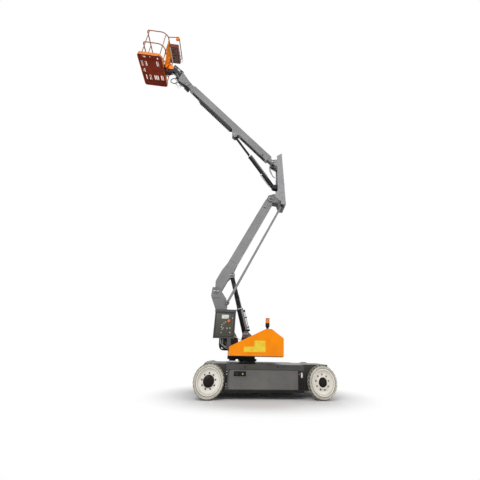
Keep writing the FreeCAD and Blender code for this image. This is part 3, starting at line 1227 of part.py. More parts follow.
def nodes():
    out = {}
    for name, x, side in WHEELS:
        out["tyre_" + name] = tyre(x, side)
        out["rim_" + name] = rim(x, side)
    for name, side in (("near", -1.0), ("far", 1.0)):
        out["side_door_" + name] = side_door(side)
        out["knuckle_" + name] = knuckle(side)
    single = (chassis_frame, side_frames, chassis_ends, battery_pack, drive_axle, steer_axle,
              track_rod, turret_base, turret_frame, turret_cover, counterweight, control_box,
              turret_hoses, beacon_base, beacon_lens, lower_boom, tie_rod, lift_barrel, lift_rod,
              lift_gaiter, upright, outer_boom, energy_chain, tilt_barrel, tilt_rod, fly_boom,
              level_barrel, level_rod, rotator, platform_bracket, platform_floor, platform_rails,
              platform_gate, console, head_hoses)
    for maker in single:
        out[maker.__name__] = maker()
    return out


def main():
    os.makedirs("parts", exist_ok=True)
    shift = V3(frame_shift(), 0, 0)
    for name, shape in nodes().items():
        shape.translated(shift).exportStep("parts/" + name + ".step")


main()
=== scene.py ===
import bpy
import math
from bpy.props import FloatProperty, FloatVectorProperty, IntProperty, PointerProperty
from mathutils import Matrix, Vector


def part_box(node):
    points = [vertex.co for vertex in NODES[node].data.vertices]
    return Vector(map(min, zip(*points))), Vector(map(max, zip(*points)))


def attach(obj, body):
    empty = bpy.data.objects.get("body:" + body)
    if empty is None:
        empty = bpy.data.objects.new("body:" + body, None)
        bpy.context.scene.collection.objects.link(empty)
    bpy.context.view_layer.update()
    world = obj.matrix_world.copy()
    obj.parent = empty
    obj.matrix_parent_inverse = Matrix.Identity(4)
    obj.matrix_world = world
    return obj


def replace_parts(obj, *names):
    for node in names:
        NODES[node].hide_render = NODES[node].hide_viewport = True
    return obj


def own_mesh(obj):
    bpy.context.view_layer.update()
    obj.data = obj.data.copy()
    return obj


bl_info = {
    "name": "Boom lift dressing",
    "version": (1, 0, 0),
    "blender": (4, 5, 0),
    "location": "3D View > Sidebar > Boom lift",
    "description": "Dresses the packed boom lift with its finishes, wheels, fittings and stage",
    "category": "Object",
}

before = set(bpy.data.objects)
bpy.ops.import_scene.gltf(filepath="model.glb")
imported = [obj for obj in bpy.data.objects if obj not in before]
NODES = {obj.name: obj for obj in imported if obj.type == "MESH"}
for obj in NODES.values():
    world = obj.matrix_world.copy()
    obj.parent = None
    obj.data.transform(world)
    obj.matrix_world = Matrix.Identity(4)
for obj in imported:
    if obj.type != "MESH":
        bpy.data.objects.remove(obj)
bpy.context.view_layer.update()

# The machine's own measure: X from the slew axis, as in the part's source, in millimetres.
DRIVE_AXLE = -667
STEER_AXLE = 1256
TYRE_R = 255
WHEEL_Y = 655
WAYS = (("near", -1), ("far", 1))
WHEELS = (("drive_near", DRIVE_AXLE, -1), ("drive_far", DRIVE_AXLE, 1),
          ("steer_near", STEER_AXLE, -1), ("steer_far", STEER_AXLE, 1))
low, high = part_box("tyre_drive_near")
SHIFT = (low[0] + high[0]) * 500 - DRIVE_AXLE


def mm(x, y, z):
    """A place in the machine's own millimetres, as a point of the scene."""
    return Vector(((x + SHIFT) / 1000, y / 1000, z / 1000))


def along(p, degrees, s, n=0):
    """X and Z of the point s along a line at that angle from p, and n to its left."""
    c, k = math.cos(math.radians(degrees)), math.sin(math.radians(degrees))
    return (p[0] + s * c - n * k, p[1] + s * k + n * c)


def beside(p, dx, dz):
    return (p[0] + dx, p[1] + dz)


def line_to(p, q):
    """The line from p towards q: its foot and its angle in degrees."""
    return (p, math.degrees(math.atan2(q[1] - p[1], q[0] - p[0])))


# Pins of the linkage as X and Z, and the lines (foot, angle) of its booms and cylinders.
LOWER_FOOT = (-725, 1785)
LOWER = (LOWER_FOOT, 63.9)
LOWER_TOP = along(*LOWER, 2560)
UPPER_FOOT = beside(LOWER_TOP, 8, 938)
UPPER = (UPPER_FOOT, 135.8)
LIFT_PIN = (-47, 992)
LIFT_TOP = beside(LOWER_FOOT, 304, 358)
LIFT = line_to(LIFT_PIN, LIFT_TOP)
TIE_TOP = beside(LOWER_TOP, 255, -224)
TIE_FOOT = beside(LOWER_FOOT, 255, -224)
TIE = (TIE_FOOT, LOWER[1])
TILT_TOP = along(*UPPER, 1319.9, 174.6)
TILT = line_to(beside(LOWER_TOP, 35, 216), TILT_TOP)
HEAD_PIN = along(*UPPER, 4354, -115.1)

# Middles of the two booms, and faces that fittings stand on, as Y.
LOWER_Y = 200
UPPER_Y = -85
UPPER_NEAR = UPPER_Y - 75
RISER_NEAR = 74
NEAR_PLATE = -200
LIFT_PLATE = 115.7
LIFT_EYE = 94
COVER_Y = 613
SKIN_Y = 651
BOX_FACE = -392

# The platform's corners, and the console's box as two ranges in X, Y and Z.
PLAT_X0, PLAT_X1 = HEAD_PIN[0] - 985, HEAD_PIN[0] - 302
PLAT_Y0, PLAT_Y1 = -632, 499
PLAT_Z = HEAD_PIN[1] - 180
CONSOLE = (PLAT_X1 - 50, PLAT_X1 + 265, -300, 300, PLAT_Z + 905, PLAT_Z + 1050)

ORIGIN = Vector((0, 0, 0))
WHITE = (1, 1, 1, 1)
WORLD_LIGHT = 0.36
# Each lamp's name, place and aim in metres, size in metres and power in watts.
LAMPS = (("key", (-3.5, -11.5, 9.5), (0, 0, 3.5), 7, 860),
         ("fill", (9, -8, 6), (0.5, 0, 3), 8, 300),
         ("low", (-7, -8, 1.2), (0.5, 0, 4), 5, 150),
         ("rim", (3, 10, 11), (0, 0, 4), 6, 420))
CAMERA_PLACE = (0.5673, -6.5024, 0.7191)
CAMERA_SHIFT = (-0.0631, -0.1115)


def operator_of(operation, swapped=False):
    """A method of Value that adds a Math node. Swapped puts the other number first."""
    def method(self, other):
        first, second = (other, self) if swapped else (self, other)
        node = self.finish.node("ShaderNodeMath", {"operation": operation},
                                {0: first, 1: second})
        return Value(self.finish, node.outputs[0])
    return method


class Value:
    """A number inside a material. Python's operators on it add Math nodes."""

    def __init__(self, finish, link):
        self.finish = finish
        self.link = link

    __add__ = operator_of("ADD")
    __sub__ = operator_of("SUBTRACT")
    __rsub__ = operator_of("SUBTRACT", True)
    __mul__ = operator_of("MULTIPLY")
    __truediv__ = operator_of("DIVIDE")
    __pow__ = operator_of("POWER")
    __lt__ = operator_of("LESS_THAN")
    __gt__ = operator_of("GREATER_THAN")
    least = operator_of("MINIMUM")
    most = operator_of("MAXIMUM")

    def step(self, start, end):
        """0 before start, 1 after end, with a smooth slope between."""
        node = self.finish.node("ShaderNodeMapRange", {"interpolation_type": "SMOOTHSTEP"},
                                {"Value": self, "From Min": start, "From Max": end})
        return Value(self.finish, node.outputs[0])


def add_node(tree, kind, settings={}, values={}):
    """Adds a node: its settings first, then the values or links of its sockets."""
    made = tree.nodes.new(kind)
    for key, value in settings.items():
        setattr(made, key, value)
    for key, value in values.items():
        if isinstance(value, Value):
            value = value.link
        if isinstance(value, bpy.types.NodeSocket):
            tree.links.new(value, made.inputs[key])
        else:
            made.inputs[key].default_value = value
    return made


class Finish:
    """One material: its shader, and the nodes that feed it."""

    def __init__(self, name, **constants):
        self.material = bpy.data.materials.new(name)
        self.material.use_nodes = True
        self.tree = self.material.node_tree
        self.shader = self.tree.nodes["Principled BSDF"]
        for socket, value in constants.items():
            self.shader.inputs[socket.replace("_", " ")].default_value = value
        self.place = self.node("ShaderNodeTexCoord").outputs["Object"]
        axes = self.node("ShaderNodeSeparateXYZ", {}, {0: self.place})
        self.x, self.y, self.z = [Value(self, s) for s in axes.outputs]

    def node(self, kind, settings={}, values={}):
        return add_node(self.tree, kind, settings, values)

    def noise(self, scale, detail=2, stretch=None):
        """Cloud noise from about 0.3 to 0.7, at a scale in cycles a metre."""
        place = self.place
        if stretch:
            place = self.node("ShaderNodeMapping", {}, {"Vector": place, "Scale": stretch})
            place = place.outputs[0]
        node = self.node("ShaderNodeTexNoise", {},
                         {"Vector": place, "Scale": scale, "Detail": detail})
        return Value(self, node.outputs[0])

    def mix(self, factor, first, second):
        """A colour between two, by a factor from 0 to 1."""
        node = self.node("ShaderNodeMix", {"data_type": "RGBA", "clamp_factor": True},
                         {0: factor, 6: first, 7: second})
        return node.outputs[2]

    def clouded(self, cloud, colour, dim, bright, start=0.35, end=0.65):
        """A colour that drifts between two shades of itself."""
        return self.mix(cloud.step(start, end), shade(colour, dim), shade(colour, bright))

    def streaked(self, tone, colour, amount, dim):
        """A tone with faint runs down it, in a darker shade of the colour."""
        streak = self.noise(9, 3, stretch=(6, 6, 0.35))
        return self.mix(streak.step(0.55, 0.75) * amount, tone, shade(colour, dim))

    def feed(self, socket, value):
        link = value.link if isinstance(value, Value) else value
        self.tree.links.new(link, self.shader.inputs[socket])

    def bump(self, height, strength, distance):
        node = self.node("ShaderNodeBump", {}, {"Height": height, "Strength": strength,
                                                "Distance": distance})
        self.feed("Normal", node.outputs[0])

def shade(colour, factor):
    return tuple(min(1, c * factor) for c in colour[:3]) + (1,)


def sprayed(name, gloss):
    """A new paint with an orange peel, and its broad clouds and its fine grain."""
    f = Finish(name, Specular_IOR_Level=gloss)
    f.bump(f.noise(420, 1), 0.12, 0.0004)
    return f, f.noise(2.2, 4), f.noise(38, 3)


def painted(name, colour, roughness=0.38, dust=0.35, dust_top=0.9, gloss=0.5):
    """Sprayed paint with faint blotches, and road dust that thins out upwards."""
    f, cloud, fine = sprayed(name, gloss)
    tone = f.streaked(f.clouded(cloud, colour, 0.9, 1.06), colour, 0.22, 0.6)
    depth = ((dust_top - f.z) / dust_top).most(0) * dust
    dirt = depth * (cloud * 0.7 + fine * 0.3).step(0.3, 0.75)
    f.feed("Base Color", f.mix(dirt, tone, (0.34, 0.31, 0.27, 1)))
    f.feed("Roughness", fine.step(0.25, 0.75) * 0.16 + (roughness - 0.08) + dirt * 0.5)
    return f.material


def lined_paint(name, colour, dark, low, high, gloss=0.3):
    """Sprayed paint, with another colour inside the box between two corners of the scene: a
    second paint for some parts, painted shade for others.
    """
    f, cloud, fine = sprayed(name, gloss)
    inside = ((f.x > low.x) * (f.x < high.x) * (f.y > low.y) * (f.y < high.y)
              * (f.z > low.z) * (f.z < high.z))
    tone = f.streaked(f.clouded(cloud, colour, 0.92, 1.05), colour, 0.2, 0.62)
    f.feed("Base Color", f.mix(inside, tone, f.clouded(cloud, dark, 0.8, 1.2, 0.3, 0.7)))
    f.feed("Roughness", fine.step(0.25, 0.75) * 0.14 + 0.34)
    return f.material


def head_paint(name, colour, dark):
    """Boom paint that gives way to a dark head beyond two lines across the fly section."""
    f, cloud, fine = sprayed(name, 0.35)
    top = mm(-2397, 0, 7979)
    foot = mm(-2384, 0, 7501)
    beyond = (f.x - top.x) - (f.z - top.z) * 0.178
    below = (f.x - foot.x) * 0.65 + (f.z - foot.z) * 0.76
    black = ((beyond < 0) + (below < 0) * (f.z > mm(0, 0, 7300).z)).least(1)
    tone = f.clouded(cloud, colour, 0.92, 1.05)
    f.feed("Base Color", f.mix(black, tone, dark + (1,)))
    f.feed("Roughness", fine.step(0.25, 0.75) * 0.14 + 0.36)
    return f.material


def marked(name, colour, second, scale=60):
    """A flat printed or moulded face: one colour, clouded a little towards a second."""
    f = Finish(name, Specular_IOR_Level=0.4)
    cloud = f.noise(scale, 3)
    f.feed("Base Color", f.mix(cloud.step(0.4, 0.7), colour + (1,), second + (1,)))
    f.feed("Roughness", cloud.step(0.2, 0.8) * 0.15 + 0.35)
    f.bump(cloud, 0.08, 0.0003)
    return f.material


def rubber(name, colour, roughness=0.75, grime=(0.2, 0.19, 0.16)):
    """Moulded rubber or plastic with a dull bloom and fine pits."""
    f = Finish(name, Specular_IOR_Level=0.35)
    fine = f.noise(120, 3)
    bloom = f.noise(14, 4).step(0.4, 0.7) * 0.35
    f.feed("Base Color", f.mix(bloom, colour + (1,), grime + (1,)))
    f.feed("Roughness", fine.step(0.2, 0.8) * 0.15 + (roughness - 0.07))
    f.bump(fine, 0.25, 0.0006)
    return f.material


def tyre_rubber(name, axle_x):
    """Pale non-marking rubber: clean side walls, a dirty tread, its grooves, and a dark ring of
    painted shade where the side wall meets the rim's lip.
    """
    f = Finish(name, Specular_IOR_Level=0.3)
    centre = mm(axle_x, 0, TYRE_R)
    dx = f.x - centre.x
    dz = f.z - centre.z
    r = (dx * dx + dz * dz) ** 0.5
    across = (f.y * f.y) ** 0.5
    cloud = f.noise(9, 4)
    fine = f.noise(90, 4)
    side = f.mix(cloud.step(0.35, 0.65), (0.50, 0.465, 0.40, 1), (0.62, 0.58, 0.50, 1))
    tread = f.mix(fine.step(0.3, 0.7), (0.21, 0.21, 0.17, 1), (0.38, 0.37, 0.31, 1))
    tone = f.mix((r + cloud * 0.03).step(0.250, 0.276), side, tread)
    groove = (r < 0.2485) * (across < 0.734) * (across > 0.576)
    tone = f.mix(groove, tone, (0.085, 0.083, 0.068, 1))
    # A thin dark ring beside the rim's lip: painted shade in the gap between the tyre and the
    # rim.
    gap_shade = (r < 0.207) * (across > 0.70)
    f.feed("Base Color", f.mix(gap_shade, tone, (0.10, 0.09, 0.08, 1)))
    f.feed("Roughness", fine.step(0.2, 0.8) * 0.15 + 0.68)
    f.bump(fine, 0.3, 0.0008)
    return f.material


def metal(name, colour, roughness):
    """Bare or plated metal with a fine grain."""
    f = Finish(name, Metallic=1)
    grain = f.noise(160, 2)
    f.feed("Base Color", f.clouded(f.noise(7, 3), colour, 0.86, 1.05, 0.3, 0.7))
    f.feed("Roughness", grain.step(0.3, 0.7) * 0.12 + (roughness - 0.05))
    f.bump(grain, 0.05, 0.0003)
    return f.material


def lens_plastic(name, colour):
    """Ribbed amber plastic that lets some light through."""
    f = Finish(name, Roughness=0.18, Transmission_Weight=0.35, IOR=1.45)
    wave = f.node("ShaderNodeTexWave", {"bands_direction": "Z"},
                  {"Vector": f.place, "Scale": 26})
    ribs = Value(f, wave.outputs[1])
    f.feed("Base Color", f.mix(ribs, shade(colour, 0.75), shade(colour, 1.1)))
    f.bump(ribs, 0.5, 0.002)
    return f.material


FINISHES = {}


def make_finishes():
    look = bpy.context.scene.boomlift_look
    grey, orange = tuple(look.grey), tuple(look.orange)
    FINISHES.update({
        "grey": painted("boom grey paint and painted highlights", grey),
        "chassis": painted("chassis grey paint and painted shade", tuple(look.chassis), dust=0.3),
        # The upright has the booms' paint made 1.37 times as bright as a painted highlight, and
        # painted shade in the hollow between its plates.
        "upright": lined_paint("upright paint lit up with painted shade inside", shade(grey, 1.37), (0.012, 0.013, 0.022),
                               mm(300, -184, 4215), mm(703, 73.5, 5080)),
        "frame": lined_paint("turret frame paint", (0.02, 0.02, 0.021), grey,
                             mm(-1200, 40, 930), mm(900, 400, 2400)),
        "head": head_paint("head paint", grey, (0.014, 0.014, 0.017)),
        "deck": painted("deck grey paint", (0.049, 0.047, 0.043), dust=0.22, gloss=0.3),
        "box": painted("control box paint", (0.072, 0.077, 0.080), dust=0.1, gloss=0.4),
        "rails": painted("rail paint", (0.34, 0.125, 0.055), dust=0, gloss=0.3),
        # The console's orange paint, darkened as painted shade.
        "tray": painted("console orange in painted shade", (0.17, 0.04, 0.03), dust=0, gloss=0.2),
        "mesh": marked("console mesh", (0.17, 0.14, 0.12), (0.05, 0.035, 0.03), 16),
        # Painted shade for gaps, slots and creases.
        "gap_shade": marked("painted gap shade", (0.03, 0.03, 0.032), (0.045, 0.045, 0.045)),
        "rotary": lined_paint("rotator paint", (0.022, 0.012, 0.011), (0.80, 0.26, 0.05),
                              mm(-3000, -400, 8070), mm(-2690, 300, 8400)),
        "bracket": lined_paint("bracket paint", orange, (0.03, 0.012, 0.01),
                               mm(-2930, -400, 7800), mm(-2600, 300, 8092), 0.2),
        # The platform's paint, with painted shade over the floor's underside inside its rim.
        "floor": lined_paint("platform floor paint with painted shade underneath", tuple(look.platform),
                             (0.215, 0.026, 0.009), mm(PLAT_X0 + 7, PLAT_Y0 + 7, PLAT_Z - 9),
                             mm(PLAT_X1 - 7, PLAT_Y1 - 7, PLAT_Z + 39), 0.12),
        "label": marked("blank yellow label", (0.88, 0.63, 0.035), (0.80, 0.52, 0.02), 14),
        "panel": marked("control panel", (0.066, 0.066, 0.052), (0.050, 0.051, 0.042), 30),
        "plate": marked("blank white plate", (0.72, 0.72, 0.69), (0.62, 0.62, 0.58)),
        "dial": marked("switch caps", (0.62, 0.56, 0.40), (0.45, 0.40, 0.28)),
        "button": marked("stop button", (0.80, 0.17, 0.03), (0.66, 0.11, 0.02)),
        "brass": metal("brass fitting", (0.60, 0.42, 0.16), 0.3),
        "pale": rubber("pale hose", (0.30, 0.29, 0.27), 0.6, (0.2, 0.19, 0.17)),
        "brown": rubber("brown hose", (0.11, 0.075, 0.06), 0.6, (0.2, 0.17, 0.14)),
        "orange": painted("orange paint", orange, dust=0.12, gloss=0.15),
        "black": painted("black paint", (0.007, 0.007, 0.009), dust=0.05, gloss=0.15),
        "cream": painted("cream rim paint", tuple(look.rim), 0.5, dust=0.2, dust_top=0.5),
        "hub": painted("hub black paint", (0.010, 0.005, 0.004), dust=0.04, dust_top=0.5,
                       gloss=0.15),
        "steel": metal("zinc plated steel", (0.58, 0.58, 0.57), 0.38),
        "chrome": metal("chromed rod", (0.78, 0.79, 0.8), 0.12),
        "hose": rubber("hose rubber", (0.008, 0.008, 0.010)),
        "chain": rubber("chain plastic", (0.03, 0.03, 0.032), 0.55, (0.12, 0.11, 0.1)),
        "lens": lens_plastic("amber lens", (0.95, 0.30, 0.02)),
        "battery": rubber("battery case", (0.09, 0.09, 0.1), 0.5),
        "ballast": painted("ballast paint", (0.03, 0.03, 0.03), 0.6),
    })


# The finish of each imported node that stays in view.
NODE_FINISH = (
    ("grey", "lower_boom tie_rod outer_boom"),
    ("head", "fly_boom"),
    ("frame", "turret_frame"),
    ("upright", "upright"),
    ("deck", "chassis_frame side_frames chassis_ends"),
    ("chassis", "side_door_near side_door_far"),
    ("orange", "turret_cover"),
    ("bracket", "platform_bracket"),
    ("floor", "platform_floor"),
    ("rails", "platform_rails platform_gate"),
    ("tray", "console"),
    ("box", "control_box"),
    ("rotary", "rotator"),
    ("black", "drive_axle steer_axle knuckle_near knuckle_far turret_base beacon_base"),
    ("black", "lift_barrel tilt_barrel tilt_rod level_barrel"),
    ("steel", "track_rod"),
    ("chrome", "lift_rod level_rod"),
    ("hose", "head_hoses"),
    ("chain", "energy_chain"),
    ("lens", "beacon_lens"),
    ("battery", "battery_pack"),
    ("ballast", "counterweight"),
)


def clear_selection():
    bpy.ops.object.select_all(action="DESELECT")


def settle(piece, name, angle=32, merge=1e-6):
    """Puts a piece's place into its mesh, mends its normals and smooths its round faces."""
    clear_selection()
    piece.select_set(True)
    bpy.context.view_layer.objects.active = piece
    bpy.ops.object.transform_apply(location=True, rotation=True, scale=True)
    bpy.ops.object.mode_set(mode="EDIT")
    bpy.ops.mesh.select_all(action="SELECT")
    bpy.ops.mesh.remove_doubles(threshold=merge)
    bpy.ops.mesh.normals_make_consistent(inside=False)
    bpy.ops.object.mode_set(mode="OBJECT")
    bpy.ops.object.shade_smooth_by_angle(angle=math.radians(angle))
    piece.name = name
    piece.data.name = name
    return piece


def lathe(name, profile, centre, axis, steps=64):
    """Spins a profile of (radius, distance along the axis) pairs about the axis at centre."""
    clear_selection()
    bpy.ops.mesh.primitive_plane_add(size=0.002)
    piece = bpy.context.object
    bpy.ops.object.mode_set(mode="EDIT")
    bpy.ops.mesh.select_all(action="SELECT")
    bpy.ops.mesh.merge(type="CENTER")
    r, t = profile[0]
    bpy.ops.transform.translate(value=(r / 1000, 0, t / 1000))
    for q, u in profile[1:]:
        step = ((q - r) / 1000, 0, (u - t) / 1000)
        bpy.ops.mesh.extrude_vertices_move(TRANSFORM_OT_translate={"value": step})
        r, t = q, u
    bpy.ops.mesh.select_all(action="SELECT")
    bpy.ops.mesh.spin(steps=steps, angle=2 * math.pi, center=(0, 0, 0), axis=(0, 0, 1))
    bpy.ops.object.mode_set(mode="OBJECT")
    turn = Vector((0, 0, 1)).rotation_difference(Vector(axis).normalized())
    piece.matrix_world = Matrix.Translation(centre) @ turn.to_matrix().to_4x4()
    return settle(piece, name, merge=1e-5)


def box(size):
    """A new box about the origin, still to be settled."""
    clear_selection()
    bpy.ops.mesh.primitive_cube_add(size=1)
    piece = bpy.context.object
    piece.scale = size
    bpy.ops.object.transform_apply(location=False, rotation=False, scale=True)
    return piece


def soften(piece, width, segments):
    """Bevels the edges of the active piece."""
    shape = piece.modifiers.new("edges", "BEVEL")
    shape.width = width
    shape.segments = segments
    bpy.ops.object.modifier_apply(modifier=shape.name)


def joined(name, pieces):
    """Joins pieces into one mesh."""
    clear_selection()
    for piece in pieces:
        piece.select_set(True)
    bpy.context.view_layer.objects.active = pieces[0]
    bpy.ops.object.join()
    whole = bpy.context.object
    whole.name = name
    whole.data.name = name
    return whole


def copies(name, piece, places):
    """Copies of a piece about the scene's origin, one for each matrix, as one mesh."""
    made = []
    for place in places:
        twin = piece.copy()
        twin.data = piece.data.copy()
        twin.data.transform(place)
        bpy.context.scene.collection.objects.link(twin)
        made.append(twin)
    bpy.data.objects.remove(piece)
    return joined(name, made)


def spread(name, body, finish, piece, spots):
    """Copies of a piece at spots in machine millimetres, as one dressed mesh."""
    return dress(copies(name, piece, [Matrix.Translation(mm(*spot)) for spot in spots]),
                 body, finish)


def dress(piece, body, finish, *nodes):
    """Gives a piece its body, its finish and the CAD nodes that it stands for."""
    piece.data.materials.clear()
    piece.data.materials.append(FINISHES[finish] if isinstance(finish, str) else finish)
    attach(piece, body)
    if nodes:
        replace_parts(piece, *nodes)
    return piece


def bar(name, body, finish, line, s, n, y, bevel=2):
    """A box beside a line (foot, angle): its ranges along it, to its left and across."""
    x, z = along(*line, (s[0] + s[1]) / 2, (n[0] + n[1]) / 2)
    piece = box([abs(end - start) / 1000 for start, end in (s, y, n)])
    if bevel:
        soften(piece, bevel / 1000, 2)
    piece.matrix_world = (Matrix.Translation(mm(x, (y[0] + y[1]) / 2, z))
                          @ Matrix.Rotation(-math.radians(line[1]), 4, "Y"))
    return dress(settle(piece, name), body, finish)


def plank(name, body, finish, x, y, z, bevel=2):
    """An upright box from its ranges in machine millimetres."""
    return bar(name, body, finish, ((0, 0), 0), x, z, y, bevel)


def turned(name, body, finish, p, y, side, profile, steps=32):
    """A turned piece about a line along Y through p; its profile starts at the face y."""
    return dress(lathe(name, profile, mm(p[0], y, p[1]), (0, side, 0), steps), body, finish)


def sleeve(name, body, finish, line, y, profile, steps=48):
    """A turned piece about a line (foot, angle); its profile is (radius, distance from foot)."""
    foot, degrees = line
    c, k = math.cos(math.radians(degrees)), math.sin(math.radians(degrees))
    return dress(lathe(name, profile, mm(foot[0], y, foot[1]), (c, 0, k), steps), body, finish)


def hose(name, body, finish, places, radius):
    """A hose or wire along a smooth path through the neighbourhood of its places."""
    clear_selection()
    curve = bpy.data.curves.new(name, "CURVE")
    curve.dimensions = "3D"
    spline = curve.splines.new("NURBS")
    spline.points.add(len(places) - 1)
    for point, place in zip(spline.points, places):
        point.co = mm(*place).to_4d()
    spline.use_endpoint_u = True
    spline.order_u = 3
    spline.resolution_u = 6
    curve.bevel_depth = radius / 1000
    curve.bevel_resolution = 2
    curve.use_fill_caps = True
    piece = bpy.data.objects.new(name, curve)
    bpy.context.scene.collection.objects.link(piece)
    piece.select_set(True)
    bpy.context.view_layer.objects.active = piece
    bpy.ops.object.convert(target="MESH")
    return dress(settle(bpy.context.object, name, 60), body, finish)


def at(y, *spots):
    """Places at one y, each from its X and Z."""
    return [(x, y, z) for x, z in spots]


def path(line, y, *spots):
    """Places beside a line (foot, angle), each from how far along it and to its left."""
    return at(y, *[along(*line, s, n) for s, n in spots])


def ring_path(x, y, z, radius, start, end, count=9):
    """Places round an arc in the XZ plane."""
    return at(y, *[along((x, z), start + (end - start) * i / (count - 1), radius)
                   for i in range(count)])


def bolts(name, body, finish, spots, radius, axis=(0, -1, 0)):
    """Hex heads on washers, at spots in machine millimetres, as one mesh."""
    shape = ((0.3, radius * 0.9), (radius * 0.8, radius * 0.9), (radius, radius * 0.72),
             (radius, radius * 0.22), (radius * 1.45, radius * 0.2), (radius * 1.5, -1),
             (0.3, -1))
    return spread(name, body, finish, lathe("bolt", shape, ORIGIN, axis, 6), spots)


def shade_ring(name, body, p, y, radius, width=6):
    """A thin dark ring on a near face: painted shade in the gap round a boss or a pin."""
    shape = ((radius, 1.2), (radius + width, 1.2), (radius + width, -1), (radius, -1),
             (radius, 1.2))
    turned(name, body, "gap_shade", p, y, -1, shape, 48)


PIN_CAP = ((0.5, 11), (20, 11), (24, 8), (25, 0), (38, 0), (41, -2), (41, -4), (0.5, -4))


def pin_cap(name, body, p, y, side, scale):
    """A pin's head in its collar, with a keeper strip and two bolts."""
    turned(name, body, "grey", p, y, side, [(r * scale, t) for r, t in PIN_CAP], 40)
    reach = 52 * scale
    plank(name + "_keeper", body, "steel", (p[0] - reach, p[0] + reach),
          sorted((y + side * 0.5, y + side * 6.5)), (p[1] - 9 * scale, p[1] + 9 * scale))
    bolts(name + "_bolts", body, "steel",
          at(y + side * 6.5, *[beside(p, s * reach * 0.82, 0) for s in (-1, 1)]),
          6.5 * scale, (0, side, 0))


def colour_setting(name, description, default):
    return FloatVectorProperty(name=name, description=description, subtype="COLOR", size=3,
                               min=0, max=1, default=default)


class BoomliftLook(bpy.types.PropertyGroup):
    grey: colour_setting("Boom paint", "Paint of the booms and the upright",
                         (0.224, 0.224, 0.228))
    chassis: colour_setting("Door paint", "Paint of the chassis's side doors",
                            (0.087, 0.085, 0.082))
    orange: colour_setting("Cover paint", "Paint of the turret's cover and the bracket",
                           (1, 0.27, 0))
    platform: colour_setting("Platform paint", "Paint of the platform's toe boards",
                             (0.80, 0.26, 0.07))
    rim: colour_setting("Rim paint", "Paint of the wheels' dishes", (0.86, 0.825, 0.755))


class BoomliftTread(bpy.types.PropertyGroup):
    lugs: IntProperty(name="Lugs", description="Tread lugs round each half of a tyre",
                      default=27, min=12, max=60)
    depth: FloatProperty(name="Depth", description="Depth of the grooves between lugs",
                         default=0.016, min=0.002, max=0.03, unit="LENGTH")
    gap: FloatProperty(name="Groove share", description="Groove's share of a lug's pitch",
                       default=0.40, min=0.1, max=0.8, subtype="FACTOR")


class BoomliftCamera(bpy.types.PropertyGroup):
    lens: FloatProperty(name="Lens", description="Focal length on a 36 mm sensor",
                        default=21.934, min=10, max=200)
    yaw: FloatProperty(name="Yaw", description="Turn to the right of straight ahead",
                       default=math.radians(7.467), subtype="ANGLE")
    pitch: FloatProperty(name="Pitch", description="Upward tilt",
                         default=math.radians(29.214), subtype="ANGLE")
    roll: FloatProperty(name="Roll", description="Lean of the picture",
                        default=math.radians(1.325), subtype="ANGLE")


class BOOMLIFT_OT_paint(bpy.types.Operator):
    """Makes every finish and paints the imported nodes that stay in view"""
    bl_idname = "boomlift.paint"
    bl_label = "Paint the nodes"

    def execute(self, context):
        make_finishes()
        for finish, names in NODE_FINISH:
            for name in names.split():
                NODES[name].data.materials.clear()
                NODES[name].data.materials.append(FINISHES[finish])
        return {"FINISHED"}


def tread_lug(width, half):
    """One lug of a tyre's near or far half: a slanted block, drawn in towards the shoulder."""
    lug = box((width, 0.074, 0.026))
    bpy.ops.object.mode_set(mode="EDIT")
    bpy.ops.mesh.select_all(action="DESELECT")
    bpy.ops.object.mode_set(mode="OBJECT")
    for level, inward, down in ((1, -0.010, 0), (-1, 0.010, -0.012)):
        for v in lug.data.vertices:
            v.select = v.co.z * level > 0 and v.co.y * half > 0
        bpy.ops.object.mode_set(mode="EDIT")
        bpy.ops.transform.translate(value=(0, inward * half, down))
        bpy.ops.object.mode_set(mode="OBJECT")
    soften(lug, 0.0025, 1)
    lug.data.transform(Matrix.Rotation(math.radians(9 * half), 4, "Z"))
    return settle(lug, "lug")


def tyre_piece(name, x, side):
    """One tyre: a lathed carcass with a groove in its side walls, and two rings of lugs."""
    tread = bpy.context.scene.boomlift_tread
    base = TYRE_R - tread.depth * 1000
    profile = [(178.5, -78), (196, -93), (214, -94.5), (217, -91.5), (221, -91.5),
               (224, -94.5), (233, -94), (base - 2, -84), (base, -74)]
    profile += [(r, -t) for r, t in reversed(profile)] + profile[:1]
    centre = mm(x, side * WHEEL_Y, TYRE_R)
    pieces = [lathe(name, profile, centre, (0, 1, 0), 72)]
    width = 2 * math.pi * TYRE_R / tread.lugs * (1 - tread.gap) / 1000
    for half in (-1, 1):
        seat = Matrix.Translation((0, 0.0465 * half, TYRE_R / 1000 - 0.013))
        places = []
        for i in range(tread.lugs):
            turn = 2 * math.pi * (i + 0.25 * half) / tread.lugs
            places.append(Matrix.Translation(centre) @ Matrix.Rotation(turn, 4, "Y") @ seat)
        pieces.append(copies("lugs", tread_lug(width, half), places))
    return joined(name, pieces)


class BOOMLIFT_OT_tyres(bpy.types.Operator):
    """Builds the four treaded tyres in the place of the plain ones"""
    bl_idname = "boomlift.tyres"
    bl_label = "Tyres"

    def execute(self, context):
        coats = {x: tyre_rubber("tyre rubber %d" % x, x) for x in (DRIVE_AXLE, STEER_AXLE)}
        for name, x, side in WHEELS:
            piece = tyre_piece("tread_" + name, x, side)
            dress(piece, "wheel_" + name, coats[x], "tyre_" + name)
        return {"FINISHED"}


